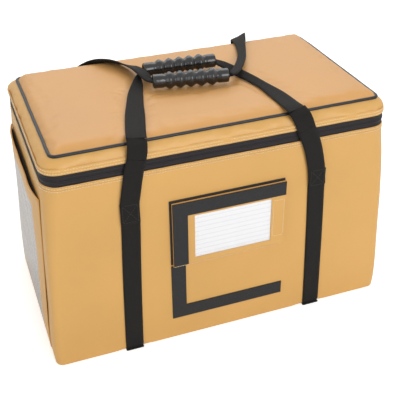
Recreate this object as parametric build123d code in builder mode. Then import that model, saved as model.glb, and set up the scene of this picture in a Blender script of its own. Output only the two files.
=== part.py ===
"""Insulated vaccine carrier: a fabric-covered foam box with a padded zip lid,
two webbing carry loops with ribbed grips, a fold-down address flap on the
front and a clear document pocket on the left side.

Origin: centre of the footprint, on the ground. X runs along the width, the
front faces -Y, Z is up. Millimetres.
"""

import os
from math import atan2, cos, degrees, radians, sin

from build123d import *

os.makedirs("parts", exist_ok=True)

# ---- Overall body ----------------------------------------------------------
bag_width = 556.0
bag_depth = 324.0
base_flare = 15.0
corner_radius = 28.0
zip_height = 346.0
cover_thick = 1.2
foam_thick = 22.0
board_thick = 3.0
liner_thick = 1.0
seam_inset = 48.0

half_width = bag_width / 2
half_depth = bag_depth / 2
base_half_width = half_width + base_flare

# ---- Zip -------------------------------------------------------------------
tape_gap = 1.2
tape_show = 9.5
tape_width = 14.0
tape_thick = 0.8
coil_height = 2.8
coil_thick = 2.2
zip_end_inset = 32.0
rebate_depth = 6.5
rebate_drop = 12.0

tape_body_top = zip_height - tape_gap / 2
tape_body_low = tape_body_top - tape_width
tape_lid_low = zip_height + tape_gap / 2
tape_lid_top = tape_lid_low + tape_width
cover_top = zip_height - tape_show
rebate_low = tape_body_low - rebate_drop
tape_outer_inset = cover_thick
tape_inner_inset = tape_outer_inset + tape_thick
coil_inner_inset = tape_inner_inset + coil_thick

# ---- Rim where the lid rests -----------------------------------------------
rim_gap = 1.6
liner_rim_top = zip_height - rim_gap / 2
body_foam_top = liner_rim_top - liner_thick
lid_liner_low = zip_height + rim_gap / 2
lid_foam_low = lid_liner_low + liner_thick

# ---- Lid -------------------------------------------------------------------
lid_rise = 30.0
lid_edge_inset = 19.5
lid_corner_radius = 20.0
crown_rise = 9.0
crown_slope = 26.0
piping_radius = 3.0
piping_offset = 2.15
piping_sides = 8

band_low = zip_height + tape_show
lid_edge_height = zip_height + lid_rise
band_top = lid_edge_height - cover_thick
crown_inset = lid_edge_inset + crown_slope

# ---- Webbing straps --------------------------------------------------------
webbing_width = 30.0
webbing_thick = 2.0
strap_x = 157.0
strap_end_drop = 43.0
sewn_length = 53.0
riser_drop = 2.0
left_riser_lean = 18.0
right_riser_lean = 29.0
strap_corner_round = 1.8
sewn_gap = 0.2

strap_top = zip_height - strap_end_drop
sewn_end_low = strap_top - sewn_length
riser_top = lid_edge_height - riser_drop

# ---- Base layers, stacked on the webbing that runs under the bag -----------
base_low = webbing_thick
base_cover_top = base_low + cover_thick
board_top = base_cover_top + board_thick
base_foam_top = board_top + foam_thick
wall_height = tape_body_low - base_low
wall_lean = degrees(atan2(base_flare, wall_height))

# ---- Rear fabric hinge -----------------------------------------------------
fold_radius = 0.9
fold_clear = 0.3
fold_end_clear = 4.0

hinge_inset = (tape_outer_inset + tape_inner_inset) / 2
hinge_y = half_depth - hinge_inset

# ---- Carry loops -----------------------------------------------------------
bend_radius = 14.0
grip_length = 122.0
grip_end_length = 17.0
grip_end_radius = 11.2
grip_valley_radius = 9.8
grip_crest_radius = 13.9
grip_crest_length = 4.0
grip_beads = 5
grip_sides = 24
grip_bore_radius = 8.0
grip_rest_gap = 1.1
front_loop_grip_y = 43.0
rear_loop_grip_y = -13.6
grip_x = -3.8
front_loop_grip_turn = -2.2
rear_loop_grip_turn = -9.2
folded_width = 14.5
folded_thick = 4.2
half_folded_width = 21.0
half_folded_thick = 3.0

sewn_outer_y = half_depth + 2 * webbing_thick + sewn_gap
riser_mid_y = sewn_outer_y - webbing_thick / 2
bend_centre_y = riser_mid_y - bend_radius
loop_low_z = riser_top + bend_radius
lid_crown_top = lid_edge_height + crown_rise
grip_z = lid_crown_top + grip_rest_gap + grip_crest_radius

# Stations of a loop's leg: how far it has come in from the strap towards the
# grip, how far it has come across the lid, and how high it lies over its bend.
front_leg_in = 0.22
front_leg_across = 0.30
front_leg_rise = 1.0
front_cross_in = 13.0
front_cross_back = 42.0
front_cross_rise = 1.5
front_turn_in = 6.0
front_turn_back = 13.0
front_turn_drop = 7.0
rear_leg_in = 0.28
rear_leg_across = 0.34
rear_leg_rise = 5.0
rear_cross_in = 18.0
rear_cross_back = 36.0
rear_cross_rise = 12.5
rear_turn_in = 7.0
rear_turn_back = 11.0
rear_turn_drop = 0.5
leg_end_clear = 3.0
leg_overlap = 0.5

# ---- Address flap ----------------------------------------------------------
flap_hinge_z = 154.0
flap_left = -91.0
flap_right = 99.0
flap_height = 117.6
flap_clear = 1.4
flap_back_thick = 0.8
sleeve_depth = 1.1
window_thick = 0.4
flap_front_thick = 0.8
strip_thick = 1.5
strip_width = 24.5
strip_clear = 0.15
flap_seam_radius = 0.9
flap_seam_thick = 1.6
card_width = 142.0
card_height = 85.0
card_left_border = 30.0
card_top_border = 25.5
card_thick = 0.5
card_clear = 1.0
opening_border = 7.0
opening_low_border = 2.5
window_margin = 6.0
wall_strip_show = 3.0
lower_strip_length = 196.5
lower_strip_drop = 111.0

flap_low = flap_hinge_z + flap_clear
flap_top = flap_low + flap_height
flap_thick = flap_back_thick + sleeve_depth + window_thick + flap_front_thick
flap_axis_y = -half_depth - 2 * strip_thick - strip_clear - flap_thick / 2
flap_back_y = flap_axis_y + flap_thick / 2
flap_face_y = flap_axis_y - flap_thick / 2
frame_back_y = flap_face_y + flap_front_thick
window_back_y = frame_back_y + window_thick
card_y = window_back_y + sleeve_depth / 2

# ---- Document pocket on the left side --------------------------------------
pocket_depth = 7.0
pocket_length = 256.0
pocket_low = 14.0
pocket_top_drop = 36.5
pocket_sheet = 1.0
pocket_seam = 6.0
pocket_border = 16.0
pocket_top_border = 34.0
binding_radius = 1.6

pocket_top = cover_top - base_low - pocket_top_drop
pocket_height = pocket_top - pocket_low

# ---- Zip sliders on the right side -----------------------------------------
slider_length = 22.0
slider_meet_y = 10.0
slider_gap = 0.6
slider_height = 12.0
slider_round = 3.0
slider_plate = 1.6
inner_plate = 1.2
slider_clear = 0.3
keel_thick = 0.6
keel_length = 9.0
bridge_length = 13.0
bridge_width = 4.0
bridge_leg = 2.0
bridge_bar = 1.4
bridge_opening = 2.6
puller_length = 32.0
puller_width = 9.0
puller_thick = 1.4
puller_pin_radius = 0.8
puller_window_clear = 0.6
puller_rim = 2.0
puller_hole_radius = 2.0
puller_play = 0.5


def outline(inset, radius=None, flare=0.0):
    """The bag's rounded outline, moved in from its outer face."""
    corner = corner_radius - inset if radius is None else radius
    RectangleRounded(bag_width + 2 * (flare - inset), bag_depth - 2 * inset, corner)


def outline_ring(low, height, outer_inset, inner_inset):
    """A ring that follows the bag's outline between two insets."""
    with BuildPart() as ring:
        with BuildSketch(Plane.XY.offset(low)):
            outline(outer_inset)
        extrude(amount=height)
        with BuildSketch(Plane.XY.offset(low)):
            outline(inner_inset)
        extrude(amount=height, mode=Mode.SUBTRACT)
    return ring.part


def wall_block(low, high, inset):
    """A block within the body's walls, whose two sides lean in towards the zip."""
    with BuildPart() as block:
        for height in (low, high):
            drop = max(tape_body_low - height, 0.0)
            with BuildSketch(Plane.XY.offset(height)):
                outline(inset, flare=base_flare * drop / wall_height)
        loft(ruled=True)
    return block.part


# ---- Base ------------------------------------------------------------------
with BuildPart() as base_cover:
    add(wall_block(base_low, base_cover_top, 0))
base_cover.part.label = "base_cover"
export_step(base_cover.part, "parts/base_cover.step")

with BuildPart() as base_board:
    add(wall_block(base_cover_top, board_top, cover_thick))
base_board.part.label = "base_board"
export_step(base_board.part, "parts/base_board.step")

with BuildPart() as base_foam:
    add(wall_block(board_top, base_foam_top, cover_thick))
base_foam.part.label = "base_foam"
export_step(base_foam.part, "parts/base_foam.step")

# ---- Outer cover: a ring of coated fabric, cut at its four seams -----------
cover_height = cover_top - base_cover_top
cover_mid_z = base_cover_top + cover_height / 2
side_cover_length = bag_depth - 2 * seam_inset

with BuildPart() as cover_ring:
    add(wall_block(base_cover_top, tape_body_low, 0))
    add(wall_block(tape_body_low, cover_top, 0))
    add(wall_block(base_cover_top, tape_body_low, cover_thick), mode=Mode.SUBTRACT)
    add(wall_block(tape_body_low, cover_top, cover_thick), mode=Mode.SUBTRACT)

for name, face in (("front", -1), ("rear", 1)):
    with BuildPart() as end_cover:
        add(cover_ring.part)
        with Locations((0, face * half_depth, cover_mid_z)):
            Box(2 * base_half_width, 2 * seam_inset, cover_height, mode=Mode.INTERSECT)
    end_cover.part.label = f"{name}_cover"
    export_step(end_cover.part, f"parts/{name}_cover.step")

for name, side in (("left", -1), ("right", 1)):
    with BuildPart() as side_cover:
        add(cover_ring.part)
        with Locations((side * base_half_width / 2, 0, cover_mid_z)):
            Box(base_half_width, side_cover_length, cover_height, mode=Mode.INTERSECT)
    side_cover.part.label = f"{name}_cover"
    export_step(side_cover.part, f"parts/{name}_cover.step")

# ---- Wall foam, stepped in at the top to make room behind the zip ----------
wall_foam_height = body_foam_top - base_foam_top
foam_mid_z = base_foam_top + wall_foam_height / 2
wall_foam_inset = cover_thick + foam_thick
foam_end_y = half_depth - wall_foam_inset
foam_cavity_width = bag_width - 2 * wall_foam_inset
foam_cavity_depth = bag_depth - 2 * wall_foam_inset

with BuildPart() as foam_ring:
    add(wall_block(base_foam_top, rebate_low, cover_thick))
    with BuildSketch(Plane.XY.offset(rebate_low)):
        outline(rebate_depth)
    extrude(amount=body_foam_top - rebate_low)
    with BuildSketch(Plane.XY.offset(base_foam_top)):
        Rectangle(foam_cavity_width, foam_cavity_depth)
    extrude(amount=wall_foam_height, mode=Mode.SUBTRACT)

for name, face in (("front", -1), ("rear", 1)):
    with BuildPart() as end_foam:
        add(foam_ring.part)
        with Locations((0, face * half_depth, foam_mid_z)):
            Box(
                2 * base_half_width,
                2 * wall_foam_inset,
                wall_foam_height,
                mode=Mode.INTERSECT,
            )
    end_foam.part.label = f"{name}_foam"
    export_step(end_foam.part, f"parts/{name}_foam.step")

for name, side in (("left", -1), ("right", 1)):
    with BuildPart() as side_foam:
        add(foam_ring.part)
        with Locations((side * base_half_width / 2, 0, foam_mid_z)):
            Box(base_half_width, 2 * foam_end_y, wall_foam_height, mode=Mode.INTERSECT)
    side_foam.part.label = f"{name}_foam"
    export_step(side_foam.part, f"parts/{name}_foam.step")

# ---- Inner liner: a tray with a rim that covers the top of the foam --------
liner_floor_top = base_foam_top + liner_thick
cavity_width = foam_cavity_width - 2 * liner_thick
cavity_depth = foam_cavity_depth - 2 * liner_thick

with BuildPart() as inner_liner:
    with BuildSketch(Plane.XY.offset(base_foam_top)):
        Rectangle(foam_cavity_width, foam_cavity_depth)
    extrude(amount=wall_foam_height)
    with BuildSketch(Plane.XY.offset(body_foam_top)):
        outline(rebate_depth)
    extrude(amount=liner_thick)
    with BuildSketch(Plane.XY.offset(liner_floor_top)):
        Rectangle(cavity_width, cavity_depth)
    extrude(amount=liner_rim_top - liner_floor_top, mode=Mode.SUBTRACT)
inner_liner.part.label = "inner_liner"
export_step(inner_liner.part, "parts/inner_liner.step")

# ---- Zip: tape and coil halves round the front and both sides --------------
zip_end_y = half_depth - zip_end_inset
zip_run_length = zip_end_y + bag_depth
zip_run_mid_y = (zip_end_y - bag_depth) / 2
coil_body_low = tape_body_top - coil_height

for name, tape_low, coil_low in (
    ("body", tape_body_low, coil_body_low),
    ("lid", tape_lid_low, tape_lid_low),
):
    tape_ring = outline_ring(tape_low, tape_width, tape_outer_inset, tape_inner_inset)
    with BuildPart() as zip_tape:
        add(tape_ring)
        with Locations((0, zip_run_mid_y, zip_height)):
            Box(bag_width, zip_run_length, 4 * tape_width, mode=Mode.INTERSECT)
    zip_tape.part.label = f"{name}_zip_tape"
    export_step(zip_tape.part, f"parts/{name}_zip_tape.step")

    coil_ring = outline_ring(coil_low, coil_height, tape_inner_inset, coil_inner_inset)
    with BuildPart() as zip_coil:
        add(coil_ring)
        with Locations((0, zip_run_mid_y, zip_height)):
            Box(bag_width, zip_run_length, 4 * tape_width, mode=Mode.INTERSECT)
    zip_coil.part.label = f"{name}_zip_coil"
    export_step(zip_coil.part, f"parts/{name}_zip_coil.step")

# ---- Rear hinge: two strips of cover fabric and the fold between them ------
hinge_run_length = bag_depth - zip_end_y
hinge_run_mid_y = (zip_end_y + bag_depth) / 2
fold_length = bag_width - 2 * (corner_radius + fold_end_clear)
body_strip_top = zip_height - fold_radius + fold_clear
lid_strip_low = zip_height + fold_radius + fold_clear
body_strip_ring = outline_ring(
    tape_body_low, body_strip_top - tape_body_low, tape_outer_inset, tape_inner_inset
)
lid_strip_ring = outline_ring(
    lid_strip_low, tape_lid_top - lid_strip_low, tape_outer_inset, tape_inner_inset
)

with BuildPart() as body_hinge_strip:
    add(body_strip_ring)
    with Locations((0, hinge_run_mid_y, zip_height)):
        Box(bag_width, hinge_run_length, 4 * tape_width, mode=Mode.INTERSECT)
    with Locations(Location((0, hinge_y, zip_height), (0, 90, 0))):
        Cylinder(fold_radius, fold_length)
body_hinge_strip.part.label = "body_hinge_strip"
export_step(body_hinge_strip.part, "parts/body_hinge_strip.step")

with BuildPart() as lid_hinge_strip:
    add(lid_strip_ring)
    with Locations((0, hinge_run_mid_y, zip_height)):
        Box(bag_width, hinge_run_length, 4 * tape_width, mode=Mode.INTERSECT)
lid_hinge_strip.part.label = "lid_hinge_strip"
export_step(lid_hinge_strip.part, "parts/lid_hinge_strip.step")

# ---- Lid foam: stepped behind the zip, leaning in to the piping, crowned ---
lid_inner_inset = lid_edge_inset + cover_thick

with BuildPart() as lid_foam:
    with BuildSketch(Plane.XY.offset(lid_foam_low)):
        outline(rebate_depth)
    extrude(amount=tape_lid_top - lid_foam_low)
    with BuildSketch(Plane.XY.offset(tape_lid_top)):
        outline(cover_thick)
    with BuildSketch(Plane.XY.offset(band_top)):
        outline(lid_inner_inset, lid_corner_radius)
    loft()
    with BuildSketch(Plane.XY.offset(band_top)):
        outline(lid_inner_inset, lid_corner_radius)
    with BuildSketch(Plane.XY.offset(band_top + crown_rise)):
        outline(crown_inset, lid_corner_radius)
    loft(ruled=True)
lid_foam.part.label = "lid_foam"
export_step(lid_foam.part, "parts/lid_foam.step")

with BuildPart() as lid_liner:
    with BuildSketch(Plane.XY.offset(lid_liner_low)):
        outline(rebate_depth)
    extrude(amount=liner_thick)
lid_liner.part.label = "lid_liner"
export_step(lid_liner.part, "parts/lid_liner.step")

# ---- Lid band between the zip and the piping -------------------------------
with BuildPart() as lid_band:
    with BuildSketch(Plane.XY.offset(band_low)):
        outline(0)
    extrude(amount=tape_lid_top - band_low)
    with BuildSketch(Plane.XY.offset(tape_lid_top)):
        outline(0)
    with BuildSketch(Plane.XY.offset(band_top)):
        outline(lid_edge_inset, lid_corner_radius)
    loft()
    with BuildSketch(Plane.XY.offset(band_low)):
        outline(cover_thick)
    extrude(amount=tape_lid_top - band_low, mode=Mode.SUBTRACT)
    with BuildSketch(Plane.XY.offset(tape_lid_top)):
        outline(cover_thick)
    with BuildSketch(Plane.XY.offset(band_top)):
        outline(lid_inner_inset, lid_corner_radius)
    loft(mode=Mode.SUBTRACT)
lid_band.part.label = "lid_band"
export_step(lid_band.part, "parts/lid_band.step")

# ---- Lid top cover: crowned sheet over the foam ----------------------------
with BuildPart() as lid_top_cover:
    with BuildSketch(Plane.XY.offset(band_top)):
        outline(lid_edge_inset, lid_corner_radius)
    extrude(amount=cover_thick)
    with BuildSketch(Plane.XY.offset(lid_edge_height)):
        outline(lid_edge_inset, lid_corner_radius)
    with BuildSketch(Plane.XY.offset(lid_crown_top)):
        outline(crown_inset, lid_corner_radius)
    loft(ruled=True)
    add(lid_foam.part, mode=Mode.SUBTRACT)
lid_top_cover.part.label = "lid_top_cover"
export_step(lid_top_cover.part, "parts/lid_top_cover.step")

# ---- Piping along the lid's top edge ---------------------------------------
piping_inset = lid_edge_inset - piping_offset
piping_z = lid_edge_height + piping_offset

with BuildSketch(Plane.XY.offset(piping_z)) as piping_path:
    outline(piping_inset, lid_corner_radius + piping_offset)

piping_wire = piping_path.sketch.face().outer_wire()

with BuildPart() as lid_piping:
    with BuildSketch(Plane(piping_wire @ 0, z_dir=piping_wire % 0)):
        RegularPolygon(piping_radius, piping_sides)
    sweep(path=piping_wire)
lid_piping.part.label = "lid_piping"
export_step(lid_piping.part, "parts/lid_piping.step")

# ---- Webbing straps: one run up the front, under the base and up the rear ---
strap_outer_y = half_depth + webbing_thick

for name, side in (("left", -1), ("right", 1)):
    with BuildPart() as strap:
        with BuildSketch(Plane.YZ.offset(side * strap_x)):
            with Locations((0, strap_top / 2)):
                Rectangle(2 * strap_outer_y, strap_top)
            with Locations((0, base_low + strap_top / 2)):
                Rectangle(bag_depth, strap_top, mode=Mode.SUBTRACT)
        extrude(amount=webbing_width / 2, both=True)
        fillet(
            strap.edges().filter_by(Axis.X).group_by(Axis.Z)[0],
            radius=strap_corner_round,
        )
    strap.part.label = f"{name}_strap"
    export_step(strap.part, f"parts/{name}_strap.step")

# ---- Front loop: box-stitched ends rising past the zip, then the bends ------
half_webbing = webbing_width / 2
bend_outer = bend_radius + webbing_thick / 2
bend_inner = bend_radius - webbing_thick / 2

for name, side, lean in (("left", -1, left_riser_lean), ("right", 1, right_riser_lean)):
    sewn_x = side * strap_x
    bend_x = side * (strap_x - lean)
    with BuildPart() as front_riser:
        with BuildSketch(Plane.XZ.offset(riser_mid_y)):
            with BuildLine():
                Polyline(
                    (sewn_x - half_webbing, sewn_end_low),
                    (sewn_x + half_webbing, sewn_end_low),
                    (sewn_x + half_webbing, strap_top),
                    (bend_x + half_webbing, riser_top),
                    (bend_x - half_webbing, riser_top),
                    (sewn_x - half_webbing, strap_top),
                    close=True,
                )
            make_face()
        extrude(amount=webbing_thick / 2, both=True)
    front_riser.part.label = f"front_riser_{name}"
    export_step(front_riser.part, f"parts/front_riser_{name}.step")

    with BuildPart() as front_bend:
        with BuildSketch(Plane.YZ.offset(bend_x)):
            with Locations((-bend_centre_y, riser_top)):
                Circle(bend_outer)
                Circle(bend_inner, mode=Mode.SUBTRACT)
            with Locations((-bend_centre_y - bend_outer, riser_top + bend_outer)):
                Rectangle(2 * bend_outer, 2 * bend_outer, mode=Mode.INTERSECT)
        extrude(amount=webbing_width / 2, both=True)
    front_bend.part.label = f"front_bend_{name}"
    export_step(front_bend.part, f"parts/front_bend_{name}.step")

# ---- Rear loop: sewn ends on the wall, then free risers with their bends ----
rear_free_low = strap_top + sewn_gap
rear_free_height = riser_top - rear_free_low

for name, side in (("left", -1), ("right", 1)):
    with BuildPart() as rear_end:
        with Locations((side * strap_x, riser_mid_y, sewn_end_low + sewn_length / 2)):
            Box(webbing_width, webbing_thick, sewn_length)
    rear_end.part.label = f"rear_end_{name}"
    export_step(rear_end.part, f"parts/rear_end_{name}.step")

    with BuildPart() as rear_riser:
        with BuildSketch(Plane.YZ.offset(side * strap_x)):
            with Locations((bend_centre_y, riser_top)):
                Circle(bend_outer)
                Circle(bend_inner, mode=Mode.SUBTRACT)
            with Locations((bend_centre_y + bend_outer, riser_top + bend_outer)):
                Rectangle(2 * bend_outer, 2 * bend_outer, mode=Mode.INTERSECT)
            with Locations((riser_mid_y, rear_free_low + rear_free_height / 2)):
                Rectangle(webbing_thick, rear_free_height)
        extrude(amount=webbing_width / 2, both=True)
    rear_riser.part.label = f"rear_riser_{name}"
    export_step(rear_riser.part, f"parts/rear_riser_{name}.step")


# ---- Carry loops: webbing across the lid, folded to run through a grip ------
half_grip_run = grip_length / 2 + leg_end_clear

for name, face, leans, grip_y, turn, leg_in, leg_across, leg_rise, cross, bend_in in (
    (
        "front",
        -1,
        (left_riser_lean, right_riser_lean),
        front_loop_grip_y,
        front_loop_grip_turn,
        front_leg_in,
        front_leg_across,
        front_leg_rise,
        (front_cross_in, front_cross_back, front_cross_rise),
        (front_turn_in, front_turn_back, front_turn_drop),
    ),
    (
        "rear",
        1,
        (0, 0),
        rear_loop_grip_y,
        rear_loop_grip_turn,
        rear_leg_in,
        rear_leg_across,
        rear_leg_rise,
        (rear_cross_in, rear_cross_back, rear_cross_rise),
        (rear_turn_in, rear_turn_back, rear_turn_drop),
    ),
):
    turn_cos = cos(radians(turn))
    turn_sin = sin(radians(turn))
    grip_centre = Vector(grip_x, grip_y, grip_z)
    grip_way = Vector(turn_cos, turn_sin, 0)
    ahead = Vector(0, -face, 0)

    with BuildPart() as loop_webbing:
        for side, lean in zip((-1, 1), leans):
            start = Vector(side * (strap_x - lean), face * bend_centre_y, loop_low_z)
            end = grip_centre + grip_way * (side * half_grip_run)
            run = end - start
            way = Vector(run.X, run.Y, 0).normalized()
            middle = start + Vector(run.X * leg_in, run.Y * leg_across, leg_rise)
            crossing = Vector(
                end.X + side * cross[0],
                end.Y + face * cross[1],
                loop_low_z + cross[2],
            )
            turning = Vector(
                end.X + side * bend_in[0],
                end.Y + face * bend_in[1],
                grip_z - bend_in[2],
            )
            last = (end - turning).normalized()
            for place, heading, width, thick in (
                (start, ahead, webbing_width, webbing_thick),
                (middle, ahead + way, webbing_width, webbing_thick),
                (crossing, way, half_folded_width, half_folded_thick),
                (turning, way + last, folded_width, folded_thick),
                (end, grip_way * -side, folded_width, folded_thick),
            ):
                square_to_run = Vector(heading.Y, -heading.X, 0)
                with BuildSketch(Plane(place, square_to_run, heading)):
                    Rectangle(width, thick)
            loft(ruled=True)
        with Locations(Location((grip_centre.X, grip_centre.Y, grip_z), (0, 0, turn))):
            Box(2 * (half_grip_run + leg_overlap), folded_width, folded_thick)
    loop_webbing.part.label = f"{name}_loop_webbing"
    export_step(loop_webbing.part, f"parts/{name}_loop_webbing.step")

# ---- Ribbed grips: a tube with a row of beads between plain ends ------------
grip_half = grip_length / 2
bead_zone = grip_length - 2 * grip_end_length
bead_pitch = bead_zone / grip_beads
bead_slope = (bead_pitch - grip_crest_length) / 2
bead_drop = grip_crest_radius - grip_valley_radius

with BuildPart() as grip_bead:
    with BuildSketch():
        RegularPolygon(grip_crest_radius, grip_sides)
    extrude(amount=bead_pitch / 2, both=True)
    for end in (0, -1):
        end_face = grip_bead.faces().sort_by(Axis.Z)[end]
        chamfer(end_face.edges(), length=bead_drop, length2=bead_slope, reference=end_face)

with BuildPart() as ribbed_tube:
    for bead in range(grip_beads):
        with Locations((0, 0, (bead + 1 / 2) * bead_pitch - bead_zone / 2)):
            add(grip_bead.part)
    for end in (-1, 1):
        with BuildSketch(Plane((0, 0, end * grip_half), z_dir=(0, 0, -end))):
            RegularPolygon(grip_end_radius, grip_sides)
        extrude(amount=grip_end_length + bead_pitch / 2)
    with BuildSketch():
        RegularPolygon(grip_bore_radius, grip_sides)
    extrude(amount=grip_half, both=True, mode=Mode.SUBTRACT)

for name, grip_y, turn in (
    ("front", front_loop_grip_y, front_loop_grip_turn),
    ("rear", rear_loop_grip_y, rear_loop_grip_turn),
):
    grip_way = (cos(radians(turn)), sin(radians(turn)), 0)
    with BuildPart() as loop_grip:
        with Locations(Plane((grip_x, grip_y, grip_z), (0, 0, 1), grip_way)):
            add(ribbed_tube.part)
    loop_grip.part.label = f"{name}_loop_grip"
    export_step(loop_grip.part, f"parts/{name}_loop_grip.step")

# ---- Address flap: fabric panel with a sleeve for the card, open on the right
flap_width = flap_right - flap_left
flap_mid_x = (flap_right + flap_left) / 2
flap_mid_z = flap_low + flap_height / 2
card_left = flap_left + card_left_border
card_mid_x = card_left + card_width / 2
card_mid_z = flap_top - card_top_border - card_height / 2
sleeve_left = card_left - card_clear
sleeve_width = flap_right - sleeve_left
sleeve_height = card_height + 2 * card_clear
opening_width = card_width - opening_border - card_clear * 5
opening_height = card_height - 2 * opening_low_border
flap_base_thick = flap_back_thick + sleeve_depth + window_thick
sleeve_total = sleeve_depth + window_thick

with BuildPart() as flap_back:
    with Locations((flap_mid_x, flap_back_y - flap_base_thick / 2, flap_mid_z)):
        Box(flap_width, flap_base_thick, flap_height)
    with Locations((sleeve_left + sleeve_width / 2, frame_back_y + sleeve_total / 2, card_mid_z)):
        Box(sleeve_width, sleeve_total, sleeve_height, mode=Mode.SUBTRACT)
flap_back.part.label = "flap_back"
export_step(flap_back.part, "parts/flap_back.step")

with BuildPart() as flap_front:
    with Locations((flap_mid_x, flap_face_y + flap_front_thick / 2, flap_mid_z)):
        Box(flap_width, flap_front_thick, flap_height)
    with Locations((card_mid_x, flap_face_y + flap_front_thick / 2, card_mid_z)):
        Box(opening_width, flap_front_thick, opening_height, mode=Mode.SUBTRACT)
flap_front.part.label = "flap_front"
export_step(flap_front.part, "parts/flap_front.step")

with BuildPart() as flap_window:
    with Locations((card_mid_x, frame_back_y + window_thick / 2, card_mid_z)):
        Box(opening_width + 2 * window_margin, window_thick, sleeve_height)
flap_window.part.label = "flap_window"
export_step(flap_window.part, "parts/flap_window.step")

with BuildPart() as address_card:
    with Locations((card_mid_x, card_y, card_mid_z)):
        Box(card_width, card_thick, card_height)
address_card.part.label = "address_card"
export_step(address_card.part, "parts/address_card.step")

# ---- Flap seam: the fabric fold it swings on, sewn to the front wall -------
seam_depth = -half_depth - flap_axis_y

with BuildPart() as flap_seam:
    with Locations((flap_mid_x, -half_depth - seam_depth / 2, flap_hinge_z)):
        Box(flap_width, seam_depth, flap_seam_thick)
    with Locations(Location((flap_mid_x, flap_axis_y, flap_hinge_z), (0, 90, 0))):
        Cylinder(flap_seam_radius, flap_width)
flap_seam.part.label = "flap_seam"
export_step(flap_seam.part, "parts/flap_seam.step")

# ---- Hook-and-loop strips: L shapes on both faces of the flap and on the wall
wall_strip_y = -half_depth - strip_thick / 2
upper_strip_left = flap_left - wall_strip_show
upper_strip_low = flap_hinge_z + flap_seam_thick
upper_strip_top = flap_top + wall_strip_show
lower_strip_top = flap_hinge_z - flap_seam_thick
lower_strip_low = flap_hinge_z - lower_strip_drop

for name, strip_y, left, right, low, top, bar_top in (
    (
        "flap_face_strip",
        flap_face_y - strip_thick / 2,
        flap_left,
        flap_right,
        flap_low,
        flap_top,
        flap_top,
    ),
    (
        "flap_back_strip",
        flap_back_y + strip_thick / 2,
        flap_left,
        flap_right,
        flap_low,
        flap_top,
        flap_top,
    ),
    (
        "wall_upper_strip",
        wall_strip_y,
        upper_strip_left,
        flap_right,
        upper_strip_low,
        upper_strip_top,
        upper_strip_top,
    ),
    (
        "wall_lower_strip",
        wall_strip_y,
        upper_strip_left,
        upper_strip_left + lower_strip_length,
        lower_strip_low,
        lower_strip_top,
        lower_strip_low + strip_width,
    ),
):
    with BuildPart() as strip:
        with Locations(((left + right) / 2, strip_y, bar_top - strip_width / 2)):
            Box(right - left, strip_thick, strip_width)
        with Locations((left + strip_width / 2, strip_y, (low + top) / 2)):
            Box(strip_width, strip_thick, top - low)
    strip.part.label = name
    export_step(strip.part, f"parts/{name}.step")

# ---- Document pocket: fabric frame sewn on three sides, open at the top -----
left_wall = Location((-base_half_width, 0, base_low), (0, wall_lean, 0))
pocket_mid_z = pocket_low + pocket_height / 2
pocket_sheet_mid_x = -pocket_depth - pocket_sheet / 2
pocket_window_length = pocket_length - 2 * pocket_border
pocket_window_height = pocket_height - pocket_border - pocket_top_border
pocket_window_mid_z = pocket_low + pocket_border + pocket_window_height / 2
pocket_inner_height = pocket_height - pocket_seam

with BuildPart() as pocket_frame:
    with Locations(left_wall):
        with Locations((-(pocket_depth + pocket_sheet) / 2, 0, pocket_mid_z)):
            Box(pocket_depth + pocket_sheet, pocket_length, pocket_height)
        with Locations((-pocket_depth / 2, 0, pocket_mid_z + pocket_seam / 2)):
            Box(
                pocket_depth,
                pocket_length - 2 * pocket_seam,
                pocket_inner_height,
                mode=Mode.SUBTRACT,
            )
        with Locations((pocket_sheet_mid_x, 0, pocket_window_mid_z)):
            Box(
                pocket_sheet,
                pocket_window_length,
                pocket_window_height,
                mode=Mode.SUBTRACT,
            )
pocket_frame.part.label = "pocket_frame"
export_step(pocket_frame.part, "parts/pocket_frame.step")

with BuildPart() as pocket_window:
    with Locations(left_wall):
        with Locations((window_thick / 2 - pocket_depth, 0, pocket_window_mid_z)):
            Box(
                window_thick,
                pocket_window_length + 2 * window_margin,
                pocket_window_height + 2 * window_margin,
            )
pocket_window.part.label = "pocket_window"
export_step(pocket_window.part, "parts/pocket_window.step")

with BuildPart() as pocket_binding:
    with Locations(left_wall):
        with Locations(
            Location((pocket_sheet_mid_x, 0, pocket_top + binding_radius), (90, 0, 0))
        ):
            Cylinder(binding_radius, pocket_length)
pocket_binding.part.label = "pocket_binding"
export_step(pocket_binding.part, "parts/pocket_binding.step")

# ---- Zip sliders: an outer and an inner plate joined by a thin keel ---------
tape_face_x = half_width - tape_outer_inset
outer_plate_x = tape_face_x + slider_clear
outer_plate_face = outer_plate_x + slider_plate
inner_plate_face = half_width - coil_inner_inset - slider_clear
keel_depth = outer_plate_x - inner_plate_face
bridge_reach = bridge_opening + bridge_bar
bridge_gap = bridge_length - 2 * bridge_leg
slider_step = (slider_gap + slider_length) / 2
pin_x = outer_plate_face + bridge_opening / 2
pin_offset = bridge_gap / 2 - puller_pin_radius - puller_play
puller_slot = bridge_leg + puller_pin_radius + 2 * puller_play + puller_rim
puller_slot_mid = puller_slot / 2 - puller_play
puller_mid = puller_length / 2 - puller_pin_radius
puller_hole_mid = puller_length - puller_pin_radius - puller_rim - puller_hole_radius

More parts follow.
